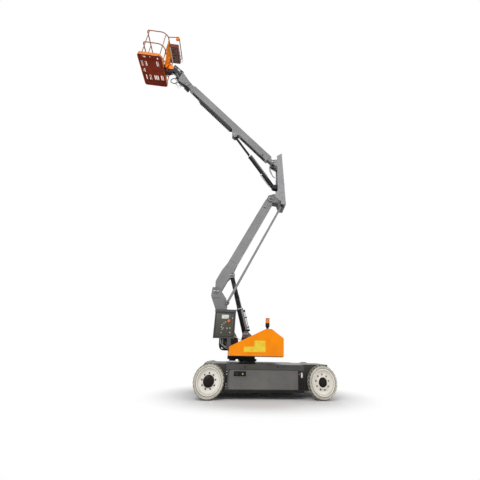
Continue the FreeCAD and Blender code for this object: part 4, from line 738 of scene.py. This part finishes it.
class BOOMLIFT_OT_rims(bpy.types.Operator):
    """Builds the four dished rims with their hubs and studs"""
    bl_idname = "boomlift.rims"
    bl_label = "Rims and hubs"

    def execute(self, context):
        for name, x, side in WHEELS:
            body = "wheel_" + name
            hub = ((x, TYRE_R), side * WHEEL_Y, side)
            steer = name.startswith("steer")
            floor = 18 if steer else 34
            dish = ((178, -77), (178, 77), (197, 91.5), (200, 94), (197, 97), (191, 97),
                    (186, 92), (181, 84), (174, floor + 22), (166, floor + 9),
                    (150, floor + 3), (128, floor), (92, floor), (88, floor - 3),
                    (70, floor - 3), (70, floor - 15), (150, floor - 12), (168, floor - 8),
                    (170, -77), (178, -77))
            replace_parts(turned("dish_" + name, body, "cream", *hub, dish, 80), "rim_" + name)
            if steer:
                ring = ((98, floor - 2), (98, floor + 3), (93, floor + 8), (91, 66), (88, 70),
                        (80, 70), (77, 66), (74, 40), (40, 38), (40, 30), (80, 30),
                        (90, floor - 2), (98, floor - 2))
                turned("hub_ring_" + name, body, "cream", *hub, ring, 64)
                cap = ((0.5, 58), (20, 57), (27, 52), (30, 44), (46, 42), (50, 40), (73, 40),
                       (73, 18), (0.5, 18))
            else:
                cap = ((0.5, 76), (34, 76), (38, 73), (40, 66), (58, 64), (64, 60), (80, 58),
                       (86, 54), (89, 46), (90, floor - 4), (0.5, floor - 4))
            turned("hub_" + name, body, "hub", *hub, cap, 64)
            stud = lathe("stud", ((0.5, 17), (3.2, 17), (4.2, 15.8), (4.2, 9), (7.8, 9),
                                  (8.6, 8), (8.6, 1.2), (12, 1), (12.4, 0), (12.4, -2),
                                  (0.5, -2)), ORIGIN, (0, side, 0), 12)
            axle = Matrix.Translation(mm(x, side * WHEEL_Y, TYRE_R))
            seat = Matrix.Translation((0, side * floor / 1000, 0.113))
            places = [axle @ Matrix.Rotation(2 * math.pi * i / 9, 4, "Y") @ seat
                      for i in range(9)]
            dress(copies("studs_" + name, stud, places), body, "hub")
        return {"FINISHED"}


class BOOMLIFT_OT_cylinders(bpy.types.Operator):
    """Builds the lift cylinder's bellows, and the pipes, painted highlight strips and glands of
    the cylinders
    """
    bl_idname = "boomlift.cylinders"
    bl_label = "Cylinders"

    def execute(self, context):
        start = 505.4
        end = math.dist(LIFT_PIN, LIFT_TOP) - 52
        ribs = 12
        pitch = 270 / ribs
        profile = [(35, start), (50, start), (50, start + 6)]
        for i in range(ribs):
            s = start + 6 + i * pitch * 0.96
            profile.extend([(44, s + 2), (53, s + pitch * 0.30), (55, s + pitch * 0.45),
                            (53, s + pitch * 0.60), (44, s + pitch * 0.85)])
        profile.extend([(49, start + 272), (49, start + 280), (46, start + 283),
                        (46, end - 12), (48, end - 10), (48, end), (35, end), (35, start)])
        bellows = sleeve("bellows", "lift_rod", "hose", LIFT, LOWER_Y, profile, 40)
        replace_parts(bellows, "lift_gaiter")
        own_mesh(bellows)
        sleeve("lift_gland", "lift_barrel", "steel", LIFT, LOWER_Y,
               ((36, 505.2), (60, 505.2), (69, 502), (69.5, 492), (67, 490), (36, 490),
                (36, 505.2)))
        sleeve("tilt_gland", "tilt_barrel", "steel", TILT, UPPER_Y,
               ((31, 1100.5), (54, 1100.5), (61, 1097), (61.5, 1084), (58, 1082), (31, 1082),
                (31, 1100.5)))
        hose("lift_pipe", "lift_barrel", "steel",
             path(LIFT, 180, *[(62 + 89.5 * i, -89) for i in range(5)]), 10.6)
        for i, s in enumerate((300, 110)):
            bar("pipe_clamp_%d" % i, "lift_barrel", "black", LIFT, (s - 12, s + 12),
                (-104, -58), (164, 196))
        # Grey strips along the near faces of the black barrels: painted highlights of their lit
        # sides.
        bar("lift_highlight_strip", "lift_barrel", "grey", LIFT, (70, 470), (-62, -14), (132, 139), 3)
        bar("tilt_highlight_strip", "tilt_barrel", "grey", TILT, (330, 1064), (-50, -18), (-137, -129), 3)
        hose("tilt_hose", "tilt_barrel", "hose",
             path(TILT, UPPER_Y - 20, (38, 52), (60, 74), (150, 84), (300, 82), (420, 88),
                  (470, 84), (480, 60), (470, 48)), 7.5)
        bar("tilt_port", "tilt_barrel", "steel", TILT, (456, 492), (44, 66),
            (UPPER_Y - 36, UPPER_Y - 4))
        bar("tilt_port_low", "tilt_barrel", "steel", TILT, (70, 104), (44, 62),
            (UPPER_Y - 14, UPPER_Y + 20))
        return {"FINISHED"}


def skin(side, out, into):
    """A range in Y through a side of the chassis: how far out of it, and how far into it."""
    return sorted((side * (SKIN_Y + out), side * (SKIN_Y - into)))


class BOOMLIFT_OT_chassis(bpy.types.Operator):
    """Fits the sills, hinge strips, latches and recess fittings of the chassis"""
    bl_idname = "boomlift.chassis"
    bl_label = "Chassis fittings"

    def execute(self, context):
        for way, side in WAYS:
            door = "side_door_" + way
            recess = side * (SKIN_Y - 4.8)
            out = (0, side, 0)
            # Name, body, finish, X, how far out of the side and into it, Z, and bevel.
            for name, body, finish, x, proud, deep, z, bevel in (
                    ("sill_", "chassis", "black", (-394, 943), 1.5, 1, (101, 139), 1),
                    # The post is a black strip of painted shade beside the door, where the
                    # chassis end turns away.
                    ("post_", "chassis", "black", (842, 943), 1.2, 1, (139, 414), 1),
                    ("strip_", "chassis", "black", (-395, -366), 1.5, 1, (160, 412), 1),
                    # The latch slot is a dark plate of painted shade.
                    ("latch_slot_", "chassis", "gap_shade", (876, 930), 3, 1, (304, 398), 1),
                    ("latch_handle_", "chassis", "plate", (890, 917), 11, 0, (314, 388), 3),
                    ("recess_", door, "black", (-264, -58), -4.9, 6.5, (324, 396), 0.5),
                    ("door_fold_0_", door, "chassis", (-343, -337), 2, 1, (146, 414), 1),
                    ("door_fold_1_", door, "chassis", (831, 837), 2, 1, (146, 414), 1),
                    ("door_lip_", door, "chassis", (-320, 836), 2, 1, (411, 416), 1)):
                plank(name + way, body, finish, x, skin(side, proud, deep), z, bevel)
            bolts("strip_bolts_" + way, "chassis", "steel",
                  at(side * (SKIN_Y + 1.5), *[(-381, z) for z in (393, 354, 217, 182)]),
                  6, out)
            bolts("skin_bolts_" + way, "chassis", "black",
                  at(side * SKIN_Y, (-84, 464), (479, 465)), 9, out)
            turned("latch_knob_" + way, "chassis", "button", (858, 365), side * SKIN_Y, side,
                   ((0.5, 8), (7, 8), (9, 5), (9, -1), (0.5, -1)), 20)
            turned("socket_" + way, door, "hose", (-210, 357), recess, side,
                   ((0.5, 1), (9, 1), (10, 4.2), (15, 4.2), (17, 1), (17, -1), (0.5, -1)), 28)
            turned("lock_" + way, door, "brass", (-114, 356), recess, side,
                   ((0.5, 4), (7, 4.5), (13, 3.5), (15, 0), (0.5, -1)), 28)
        return {"FINISHED"}


class BOOMLIFT_OT_turret(bpy.types.Operator):
    """Fits the cover's labels and folds, the ground controls, the hoses and the pin caps"""
    bl_idname = "boomlift.turret"
    bl_label = "Turret fittings"

    def execute(self, context):
        label = (-COVER_Y - 0.9, -COVER_Y + 0.5)
        plank("label_upper", "turret", "label", (64, 268), label, (766, 865), 0)
        plank("label_lower", "turret", "label", (-116, 268), label, (684, 765), 0)
        folds = [lathe("fold", ((0.3, -612), (3.6, -611), (3.6, 611), (0.3, 612)),
                       mm(x, 0, z), (0, 1, 0), 12)
                 for x, z in ((-371, 757), (275, 1054), (377, 1054), (595, 907))]
        dress(joined("cover_folds", folds), "turret", "orange")
        for way, side in WAYS:
            bolts("cover_bolts_" + way, "turret", "orange",
                  at(side * COVER_Y, *[(x, 644) for x in (-340, -110, 120, 350, 570)]),
                  6, (0, side, 0))
        bolts("cover_tail_bolts", "turret", "steel",
              [(598, y, 660) for y in (-500, -170, 170, 500)], 6.5, (1, 0, 0))
        # A dark plate just larger than the control panel: painted shade in the gap round its
        # edge.
        plank("box_gap", "turret", "gap_shade", (-668, -306), (-390.5, -388), (906, 1332), 0.5)
        plank("box_face", "turret", "panel", (-646, -326), (-393, -389), (928, 1304), 1.5)
        plank("box_plate", "turret", "plate", (-551, -420), (-394.5, -391), (1222, 1288), 1)
        turned("box_stop", "turret", "button", (-415, 1181), BOX_FACE - 12, -1,
               ((0.5, 20), (14, 19.5), (24, 16), (27, 10), (27, 4), (22, 0), (22, -10),
                (0.5, -10)))
        dial = lathe("dial", ((0.5, 9), (6, 9), (8, 7), (8, 3), (11, 2.5), (11, -1), (0.5, -1)),
                     ORIGIN, (0, -1, 0), 16)
        spread("box_dials", "turret", "dial", dial,
               at(BOX_FACE, (-437, 1232), (-474, 1166), (-500, 1143), (-534, 1117),
                  (-543, 1078), (-510, 1059), (-526, 1037), (-437, 1058), (-385, 1063),
                  (-380, 990), (-540, 985), (-345, 1232)))
        plank("junction", "turret", "black", (-540, -378), (-296, -230), (742, 892), 10)
        under = []
        for i in range(4):
            x, y, z = -552 + 33 * i, -322 - 26 * (i % 2), 708 + 21 * i
            under.append(hose("hose", "turret", "hose",
                              at(y, (x, 894), (x, 850), (x + 4, z + 60), (x + 26, z + 14),
                                 (x + 70, z), (-400, z), (-375, z)), 13))
        dress(joined("box_hoses", under), "turret", "hose", "turret_hoses")
        for i, (x, r) in enumerate(((-536, 8), (-498, 7))):
            hose("box_cable_%d" % i, "turret", "pale",
                 at(-370, (x, 894), (x, 850), (x + 4, 806 - 22 * i), (x + 50, 770 - 26 * i),
                    (-420, 756 - 26 * i), (-375, 752 - 26 * i)), r)
        hose("box_stay", "turret", "steel",
             at(-274, (-300, 934), (-225, 902), (-150, 868)), 6.5)
        pin_cap("lift_trunnion", "turret", LIFT_PIN, LIFT_PLATE - 6, -1, 0.95)
        pin_cap("boom_foot_pin", "turret", LOWER_FOOT, RISER_NEAR - 6, -1, 1.1)
        pin_cap("boom_foot_pin_far", "turret", LOWER_FOOT, 332, 1, 1.1)
        # Thin dark rings round the pins and bosses: painted shade in their gaps.
        shade_ring("lift_ring", "turret", LIFT_PIN, LIFT_PLATE, 52)
        shade_ring("lift_ring_inner", "turret", LIFT_PIN, LIFT_PLATE - 6, 30)
        shade_ring("foot_ring", "turret", LOWER_FOOT, RISER_NEAR, 60)
        shade_ring("foot_ring_inner", "turret", LOWER_FOOT, RISER_NEAR - 6, 26, 10)
        shade_ring("tie_ring", "tie_rod", TIE_FOOT, 3, 33)
        # A thin dark line along the riser's fold: painted shade in the crease.
        hose("riser_fold", "turret", "gap_shade",
             at(RISER_NEAR - 0.5, *[(x, 1650) for x in (-792, -750, -710, -670, -630)]), 3)
        bolts("riser_bolts", "turret", "steel",
              at(RISER_NEAR, (-640, 1400), (-520, 1400), (-590, 1250), (-480, 1180)), 7.5)
        bolts("base_bolts", "turret", "black",
              at(-250, *[(x, 585) for x in (-350, -270, -190, -110, -30, 50, 100)]), 8)
        sleeve("beacon_rings", "turret", "black", ((335, 1057), 90), -300,
               ((41, 100), (43, 102), (43, 111), (41, 113)), 40)
        return {"FINISHED"}


class BOOMLIFT_OT_booms(bpy.types.Operator):
    """Fits the pin caps, weld beads, hoses and switch of the booms and the upright, with rings,
    arcs and a slot plate of painted shade
    """
    bl_idname = "boomlift.booms"
    bl_label = "Boom fittings"

    def execute(self, context):
        for way, y in (("near", 99.2), ("far", 300.8)):
            hose("cheek_bead_" + way, "lower_boom", "grey",
                 path(LOWER, y, *[(718, n) for n in (-98, -50, 0, 50, 98)]), 4)
        # Thin dark arcs on the boom's near face: painted shade along round edges.
        for i, (x, z) in enumerate(((-519, 2294), (-621, 2062))):
            hose("boom_mark_%d" % i, "lower_boom", "chassis", ring_path(x, 99.5, z, 20, 20, 200),
                 2.2)
        # A dark plate at the back of the boom's slot: painted shade in the slot.
        bar("slot_back", "lower_boom", "gap_shade", LOWER, (2215, 2305), (-70, 92), (108.5, 111), 0.5)
        reach = math.dist(TIE_FOOT, TIE_TOP)
        sleeve("tie_tube", "tie_rod", "grey", TIE, 28,
               ((14, 58), (19, 62), (20, 70), (20, reach - 70), (19, reach - 62),
                (14, reach - 58), (14, 58)), 32)
        bar("tie_fork_body", "tie_rod", "grey", TIE, (reach - 205, reach - 34), (-23, 23),
            (4, 52), 5)
        plank("tie_fork", "tie_rod", "grey", (TIE_TOP[0] - 26, TIE_TOP[0] + 26), (-3.5, 2),
              (TIE_TOP[1] - 26, TIE_TOP[1] + 26), 4)
        # Thin dark rings round the pins and bosses: painted shade in their gaps.
        shade_ring("lower_top_ring", "upright", LOWER_TOP, RISER_NEAR, 86)
        shade_ring("lower_top_ring_inner", "upright", LOWER_TOP, RISER_NEAR - 12, 43, 5)
        shade_ring("lift_eye_ring", "lower_boom", LIFT_TOP, LIFT_EYE, 34)
        shade_ring("upper_foot_ring", "upright", UPPER_FOOT, NEAR_PLATE, 46, 4)
        bolts("slot_bolt", "lower_boom", "black", [(324, 100, 3822)], 7)
        pin_cap("lower_top_pin", "upright", LOWER_TOP, RISER_NEAR - 12, -1, 0.95)
        pin_cap("lower_top_pin_far", "upright", LOWER_TOP, 332, 1, 1.05)
        pin_cap("upper_foot_pin", "upright", UPPER_FOOT, NEAR_PLATE - 6, -1, 1)
        pin_cap("lift_eye_pin", "lower_boom", LIFT_TOP, LIFT_EYE, -1, 0.8)
        turned("tie_top_cap", "upright", "black", TIE_TOP, 3 - 4.2, -1,
               ((0.5, 5), (22, 5), (25, 2), (25, -1), (0.5, -1)), 28)
        # A thin dark arc on the upright's near plate: painted shade along a round edge.
        hose("upright_shade_arc", "upright", "chassis",
             ring_path(622, NEAR_PLATE - 0.6, 4118, 26, 10, 170), 2.6)
        bolts("upright_bolts", "upright", "black",
              at(NEAR_PLATE, (647, 3792), (600, 3892)), 9)
        for i, (finish, y, sag) in enumerate((("brown", -172, 0), ("pale", -155, 26))):
            hose("pivot_hose_%d" % i, "upright", finish,
                 at(y, (392, 4975), (356, 4950), (318 - sag * 0.4, 4880), (338 - sag, 4760),
                    (372, 4660), (408, 4580), (452, 4556)), 8)
        bolts("gusset_bolts", "upper_boom", "black",
              at(UPPER_NEAR - 5, (-631, 5971), (-566, 5906)), 8)
        bolts("boom_foot_bolt", "upper_boom", "black", [(121, UPPER_NEAR, 5228)], 16)
        # A thin dark arc on the upper boom's near face: painted shade along a round edge.
        hose("boom_foot_shade_arc", "upper_boom", "chassis",
             ring_path(66, UPPER_NEAR - 0.5, 5362, 28, 20, 190), 2.6)
        pin_cap("gusset_pin", "upper_boom", TILT_TOP, UPPER_NEAR - 11, -1, 0.72)
        for i, y in enumerate((-112, -92, -72)):
            hose("boom_hose_%d" % i, "upper_boom", "hose",
                 path(UPPER, y, (236, 104), (420, 105), (700, 105), (950, 105), (1160, 104)),
                 9)
        for i, s in enumerate((300, 620, 940)):
            bar("hose_clip_%d" % i, "upper_boom", "black", UPPER, (s - 10, s + 10), (94, 117),
                (-126, -58), 1.5)
        bar("limit_switch", "upper_boom", "black", UPPER, (330, 384), (94, 114), (-158, -128), 3)
        for i, y in enumerate((-118, -96, -74, -52)):
            hose("chain_hose_%d" % i, "upper_boom", "hose",
                 path(UPPER, y, (2925, 118), (2990, 112), (3080, 108), (3160, 107), (3240, 106)),
                 8.5)
        for way, y in (("near", UPPER_NEAR), ("far", UPPER_Y + 75)):
            hose("mouth_bead_" + way, "upper_boom", "grey",
                 path(UPPER, y, *[(3384, n) for n in (-92, -45, 0, 45, 92)]), 4)
        return {"FINISHED"}


class BOOMLIFT_OT_head(bpy.types.Operator):
    """Fits the head's cap, straps, hose carrier and hose loops"""
    bl_idname = "boomlift.head"
    bl_label = "Head fittings"

    def execute(self, context):
        x, z = HEAD_PIN
        bar("head_cap", "fly", "black", UPPER, (4060, 4175), (-190, -166), (-158, -12), 4)
        bar("mouth_wear_strip", "fly", "black", UPPER, (3541, 3594), (-83, -80), (-150, -20), 1)
        bar("hose_carrier", "fly", "black", UPPER, (3420, 3590), (102, 160), (-140, -30), 5)
        bar("hose_carrier_tab", "fly", "black", UPPER, (3552, 3592), (60, 110), (-140, -30), 3)
        hose("head_ring", "fly", "hose",
             [(x + 150, -85, z - 430)] + ring_path(x + 46, -92, z - 506, 106, 40, 330, 12)
             + [(x + 190, -92, z - 560)], 12)
        hose("head_ring_inner", "fly", "hose",
             at(-60, (x + 60, z - 300), (x + 40, z - 380), (x + 75, z - 440),
                (x + 140, z - 450)), 7)
        hose("head_ring_small", "fly", "steel",
             [(x + 240, -110, z - 640)] + ring_path(x + 216, -112, z - 752, 40, 90, 380, 10)
             + [(x + 300, -112, z - 700)], 7)
        pin_cap("head_pin", "fly", HEAD_PIN, UPPER_NEAR - 5, -1, 0.62)
        for i, (a, b, w) in enumerate((((-2440, 7935), (-2650, 8160), 11),
                                       ((-2440, 7700), (-2560, 7900), 9))):
            bar("head_strap_%d" % i, "fly", "grey", line_to(a, b), (0, math.dist(a, b)), (-w, w),
                (-163, -159.5), 1.5)
        bolts("head_bolts", "fly", "steel",
              at(UPPER_NEAR, (x + 330, z - 350), (x + 250, z - 200), (x + 400, z - 560)), 7)
        bolts("level_foot_bolts", "fly", "black", [(x + 376, UPPER_NEAR - 6, z - 624)], 9)
        return {"FINISHED"}


class BOOMLIFT_OT_platform(bpy.types.Operator):
    """Fits the console's panels, the tray and the post feet of the platform"""
    bl_idname = "boomlift.platform"
    bl_label = "Platform fittings"

    def execute(self, context):
        x0, x1, y0, y1, z0, z1 = CONSOLE
        top = PLAT_Z + 50.2
        # The console's parts: name, finish, X, Y, Z and bevel.
        parts = [("mesh", "mesh", (x0 + 112, x1 - 44), (y0 + 40, y1 - 50), (z0 - 5, z0 + 1), 1),
                 ("side", "black", (x0 + 14, x0 + 52), (y0 + 14, y1 - 14), (z0 - 4, z0 + 1), 1),
                 ("slot", "plate", (x0 + 58, x0 + 96), (y0 + 24, y1 - 24), (z0 - 3, z0 + 1), 1),
                 ("edge", "tray", (x1 - 38, x1 - 4), (y0 + 20, y1 - 20), (z0 - 3, z0 + 1), 1),
                 ("face", "plate", (x0 + 130, x1 - 60), (y0 + 90, y1 - 90),
                  (z1 + 29, z1 + 33), 1)]
        for i in range(7):
            q = y0 + 80 + i * 70
            parts.append(("rib_%d" % i, "tray", (x0 + 116, x1 - 48), (q, q + 8),
                          (z0 - 9, z0 - 4), 1))
        for name, finish, x, y, z, bevel in parts:
            plank("console_" + name, "platform", finish, x, y, z, bevel)
        for i, y in enumerate((-120, 120)):
            grip = lathe("lever_grip_%d" % i,
                         ((0.5, 122), (12, 121), (17, 112), (15, 96), (10, 88), (10, 30),
                          (0.5, 30)), mm((x0 + x1) / 2 + 30, y, z1), (0, 0, 1), 24)
            dress(grip, "platform", "hose")
        plank("tool_tray", "platform", "bracket", (x1 - 78, x1 + 2), (-446, -372),
              (z1 + 60, z1 + 190), 8)
        hose("console_wire", "platform", "hose",
             [(x1 - 2, 40, z0 + 60), (x1 + 60, 60, z0 + 60), (x1 + 110, 110, z0 - 20),
              (x1 + 80, 180, z0 - 70), (x1 - 2, 220, z0 + 20)], 4.5)
        hose("console_wire_small", "platform", "hose",
             [(x1 - 2, -60, z0 + 90), (x1 + 46, -50, z0 + 110), (x1 + 70, -10, z0 + 70),
              (x1 + 40, 10, z0 + 30), (x1 - 2, 10, z0 + 40)], 4)
        rx0, rx1, ry0, ry1 = PLAT_X0 + 40, PLAT_X1 - 40, PLAT_Y0 + 40, PLAT_Y1 - 40
        bow = 200 * (1 - math.sqrt(0.5))
        posts = ((rx0, ry1), (rx1, ry1), (rx0, (ry0 + ry1) / 2), (rx1, -340), (rx0 + 70, ry0),
                 (rx1 - bow, ry0 + bow))
        foot = lathe("foot", ((12.2, 12), (15, 10), (22, 5), (23, 0), (12.2, 0), (12.2, 12)),
                     ORIGIN, (0, 0, 1), 20)
        spread("post_feet", "platform", "rails", foot, [(x, y, top) for x, y in posts])
        ring = lathe("ring", ((12.2, 9), (15, 6), (15, -6), (12.2, -9), (12.2, 9)),
                     ORIGIN, (0, 0, 1), 20)
        spread("post_rings", "platform", "rails", ring,
               [(x, y, PLAT_Z + 566) for x, y in posts[:5]])
        x, z = beside(HEAD_PIN, -163, -190)
        for way, finish, rise, up in (("top", "steel", 284.4, 1), ("low", "black", -24.4, -1)):
            bolts("bracket_bolts_" + way, "platform", finish,
                  [(x + 40 * math.cos(t), UPPER_Y + 40 * math.sin(t), z + rise)
                   for t in (0.8, 2.4, 3.9, 5.5)], 7.5, (0, 0, up))
        return {"FINISHED"}


class BOOMLIFT_OT_stage(bpy.types.Operator):
    """Lays the pale floor, hangs the soft lights and sets up the camera"""
    bl_idname = "boomlift.stage"
    bl_label = "Stage"

    def lay_floor(self):
        """A pale floor that keeps the shadow and fades to white away from the machine."""
        clear_selection()
        bpy.ops.mesh.primitive_plane_add(size=60, location=(0, 0, -0.002))
        ground = bpy.context.object
        ground.name = "stage_floor"
        f = Finish("floor", Roughness=0.9, Specular_IOR_Level=0.1)
        f.feed("Base Color", f.mix(f.noise(0.8, 2), (0.84, 0.84, 0.84, 1),
                                   (0.90, 0.90, 0.90, 1)))
        glow = f.node("ShaderNodeEmission", {}, {"Color": WHITE, "Strength": 1})
        seen = f.node("ShaderNodeLightPath").outputs["Is Camera Ray"]
        aside = f.x - mm(300, 0, 0).x
        away = ((aside * aside + f.y * f.y) ** 0.5).step(1.15, 2.2) * Value(f, seen)
        fade = f.node("ShaderNodeMixShader", {}, {0: away, 1: f.shader.outputs[0],
                                                  2: glow.outputs[0]})
        f.tree.links.new(fade.outputs[0], f.tree.nodes["Material Output"].inputs[0])
        ground.data.materials.append(f.material)

    def light_up(self, scene):
        """A soft grey world that looks white to the camera, and four lamps."""
        scene.world = bpy.data.worlds.new("studio")
        scene.world.use_nodes = True
        tree = scene.world.node_tree
        tree.nodes.clear()
        rays = add_node(tree, "ShaderNodeLightPath").outputs
        seen = rays["Is Camera Ray"]
        for ray in ("Is Glossy Ray", "Is Transmission Ray"):
            seen = add_node(tree, "ShaderNodeMath", {"operation": "MAXIMUM"},
                            {0: seen, 1: rays[ray]}).outputs[0]
        soft = add_node(tree, "ShaderNodeBackground", {}, {0: WHITE, 1: WORLD_LIGHT})
        white = add_node(tree, "ShaderNodeBackground", {}, {0: WHITE, 1: 1})
        pick = add_node(tree, "ShaderNodeMixShader", {},
                        {0: seen, 1: soft.outputs[0], 2: white.outputs[0]})
        add_node(tree, "ShaderNodeOutputWorld", {}, {0: pick.outputs[0]})
        for name, spot, aim, size, power in LAMPS:
            data = bpy.data.lights.new(name, "AREA")
            data.size = size
            data.energy = power
            lamp = bpy.data.objects.new(name, data)
            lamp.location = spot
            lamp.rotation_euler = (Vector(aim) - Vector(spot)).to_track_quat("-Z", "Y").to_euler()
            scene.collection.objects.link(lamp)

    def execute(self, context):
        scene = context.scene
        self.lay_floor()
        self.light_up(scene)
        look = scene.boomlift_camera
        data = bpy.data.cameras.new("photo")
        data.sensor_width = 36
        data.lens = look.lens
        data.shift_x, data.shift_y = CAMERA_SHIFT
        data.clip_end = 200
        camera = bpy.data.objects.new("photo", data)
        ahead = Vector((math.sin(look.yaw) * math.cos(look.pitch),
                        math.cos(look.yaw) * math.cos(look.pitch), math.sin(look.pitch)))
        right = Vector((math.cos(look.yaw), -math.sin(look.yaw), 0))
        up = right.cross(ahead)
        across = math.cos(look.roll) * right + math.sin(look.roll) * up
        upward = -math.sin(look.roll) * right + math.cos(look.roll) * up
        turn = Matrix((across, upward, -ahead)).transposed()
        camera.matrix_world = Matrix.Translation(CAMERA_PLACE) @ turn.to_4x4()
        scene.collection.objects.link(camera)
        scene.camera = camera
        scene.view_settings.view_transform = "Standard"
        return {"FINISHED"}


STEPS = (BOOMLIFT_OT_paint, BOOMLIFT_OT_tyres, BOOMLIFT_OT_rims, BOOMLIFT_OT_cylinders,
         BOOMLIFT_OT_chassis, BOOMLIFT_OT_turret, BOOMLIFT_OT_booms, BOOMLIFT_OT_head,
         BOOMLIFT_OT_platform, BOOMLIFT_OT_stage)
GROUPS = (("boomlift_look", BoomliftLook), ("boomlift_tread", BoomliftTread),
          ("boomlift_camera", BoomliftCamera))


class BOOMLIFT_PT_panel(bpy.types.Panel):
    """Lists the pieces of the boom lift and their settings"""
    bl_label = "Boom lift"
    bl_idname = "BOOMLIFT_PT_panel"
    bl_space_type = "VIEW_3D"
    bl_region_type = "UI"
    bl_category = "Boom lift"

    def draw(self, context):
        column = self.layout.column()
        for name, group in GROUPS:
            for key in group.__annotations__:
                column.prop(getattr(context.scene, name), key)
        for step in STEPS:
            column.operator(step.bl_idname)


def register():
    for name, group in GROUPS:
        bpy.utils.register_class(group)
        setattr(bpy.types.Scene, name, PointerProperty(type=group))
    for cls in STEPS + (BOOMLIFT_PT_panel,):
        bpy.utils.register_class(cls)


def unregister():
    for cls in (BOOMLIFT_PT_panel,) + STEPS:
        bpy.utils.unregister_class(cls)
    for name, group in GROUPS:
        delattr(bpy.types.Scene, name)
        bpy.utils.unregister_class(group)


def main():
    register()
    for step in STEPS:
        family, action = step.bl_idname.split(".")
        getattr(getattr(bpy.ops, family), action)()


if __name__ == "__main__":
    main()
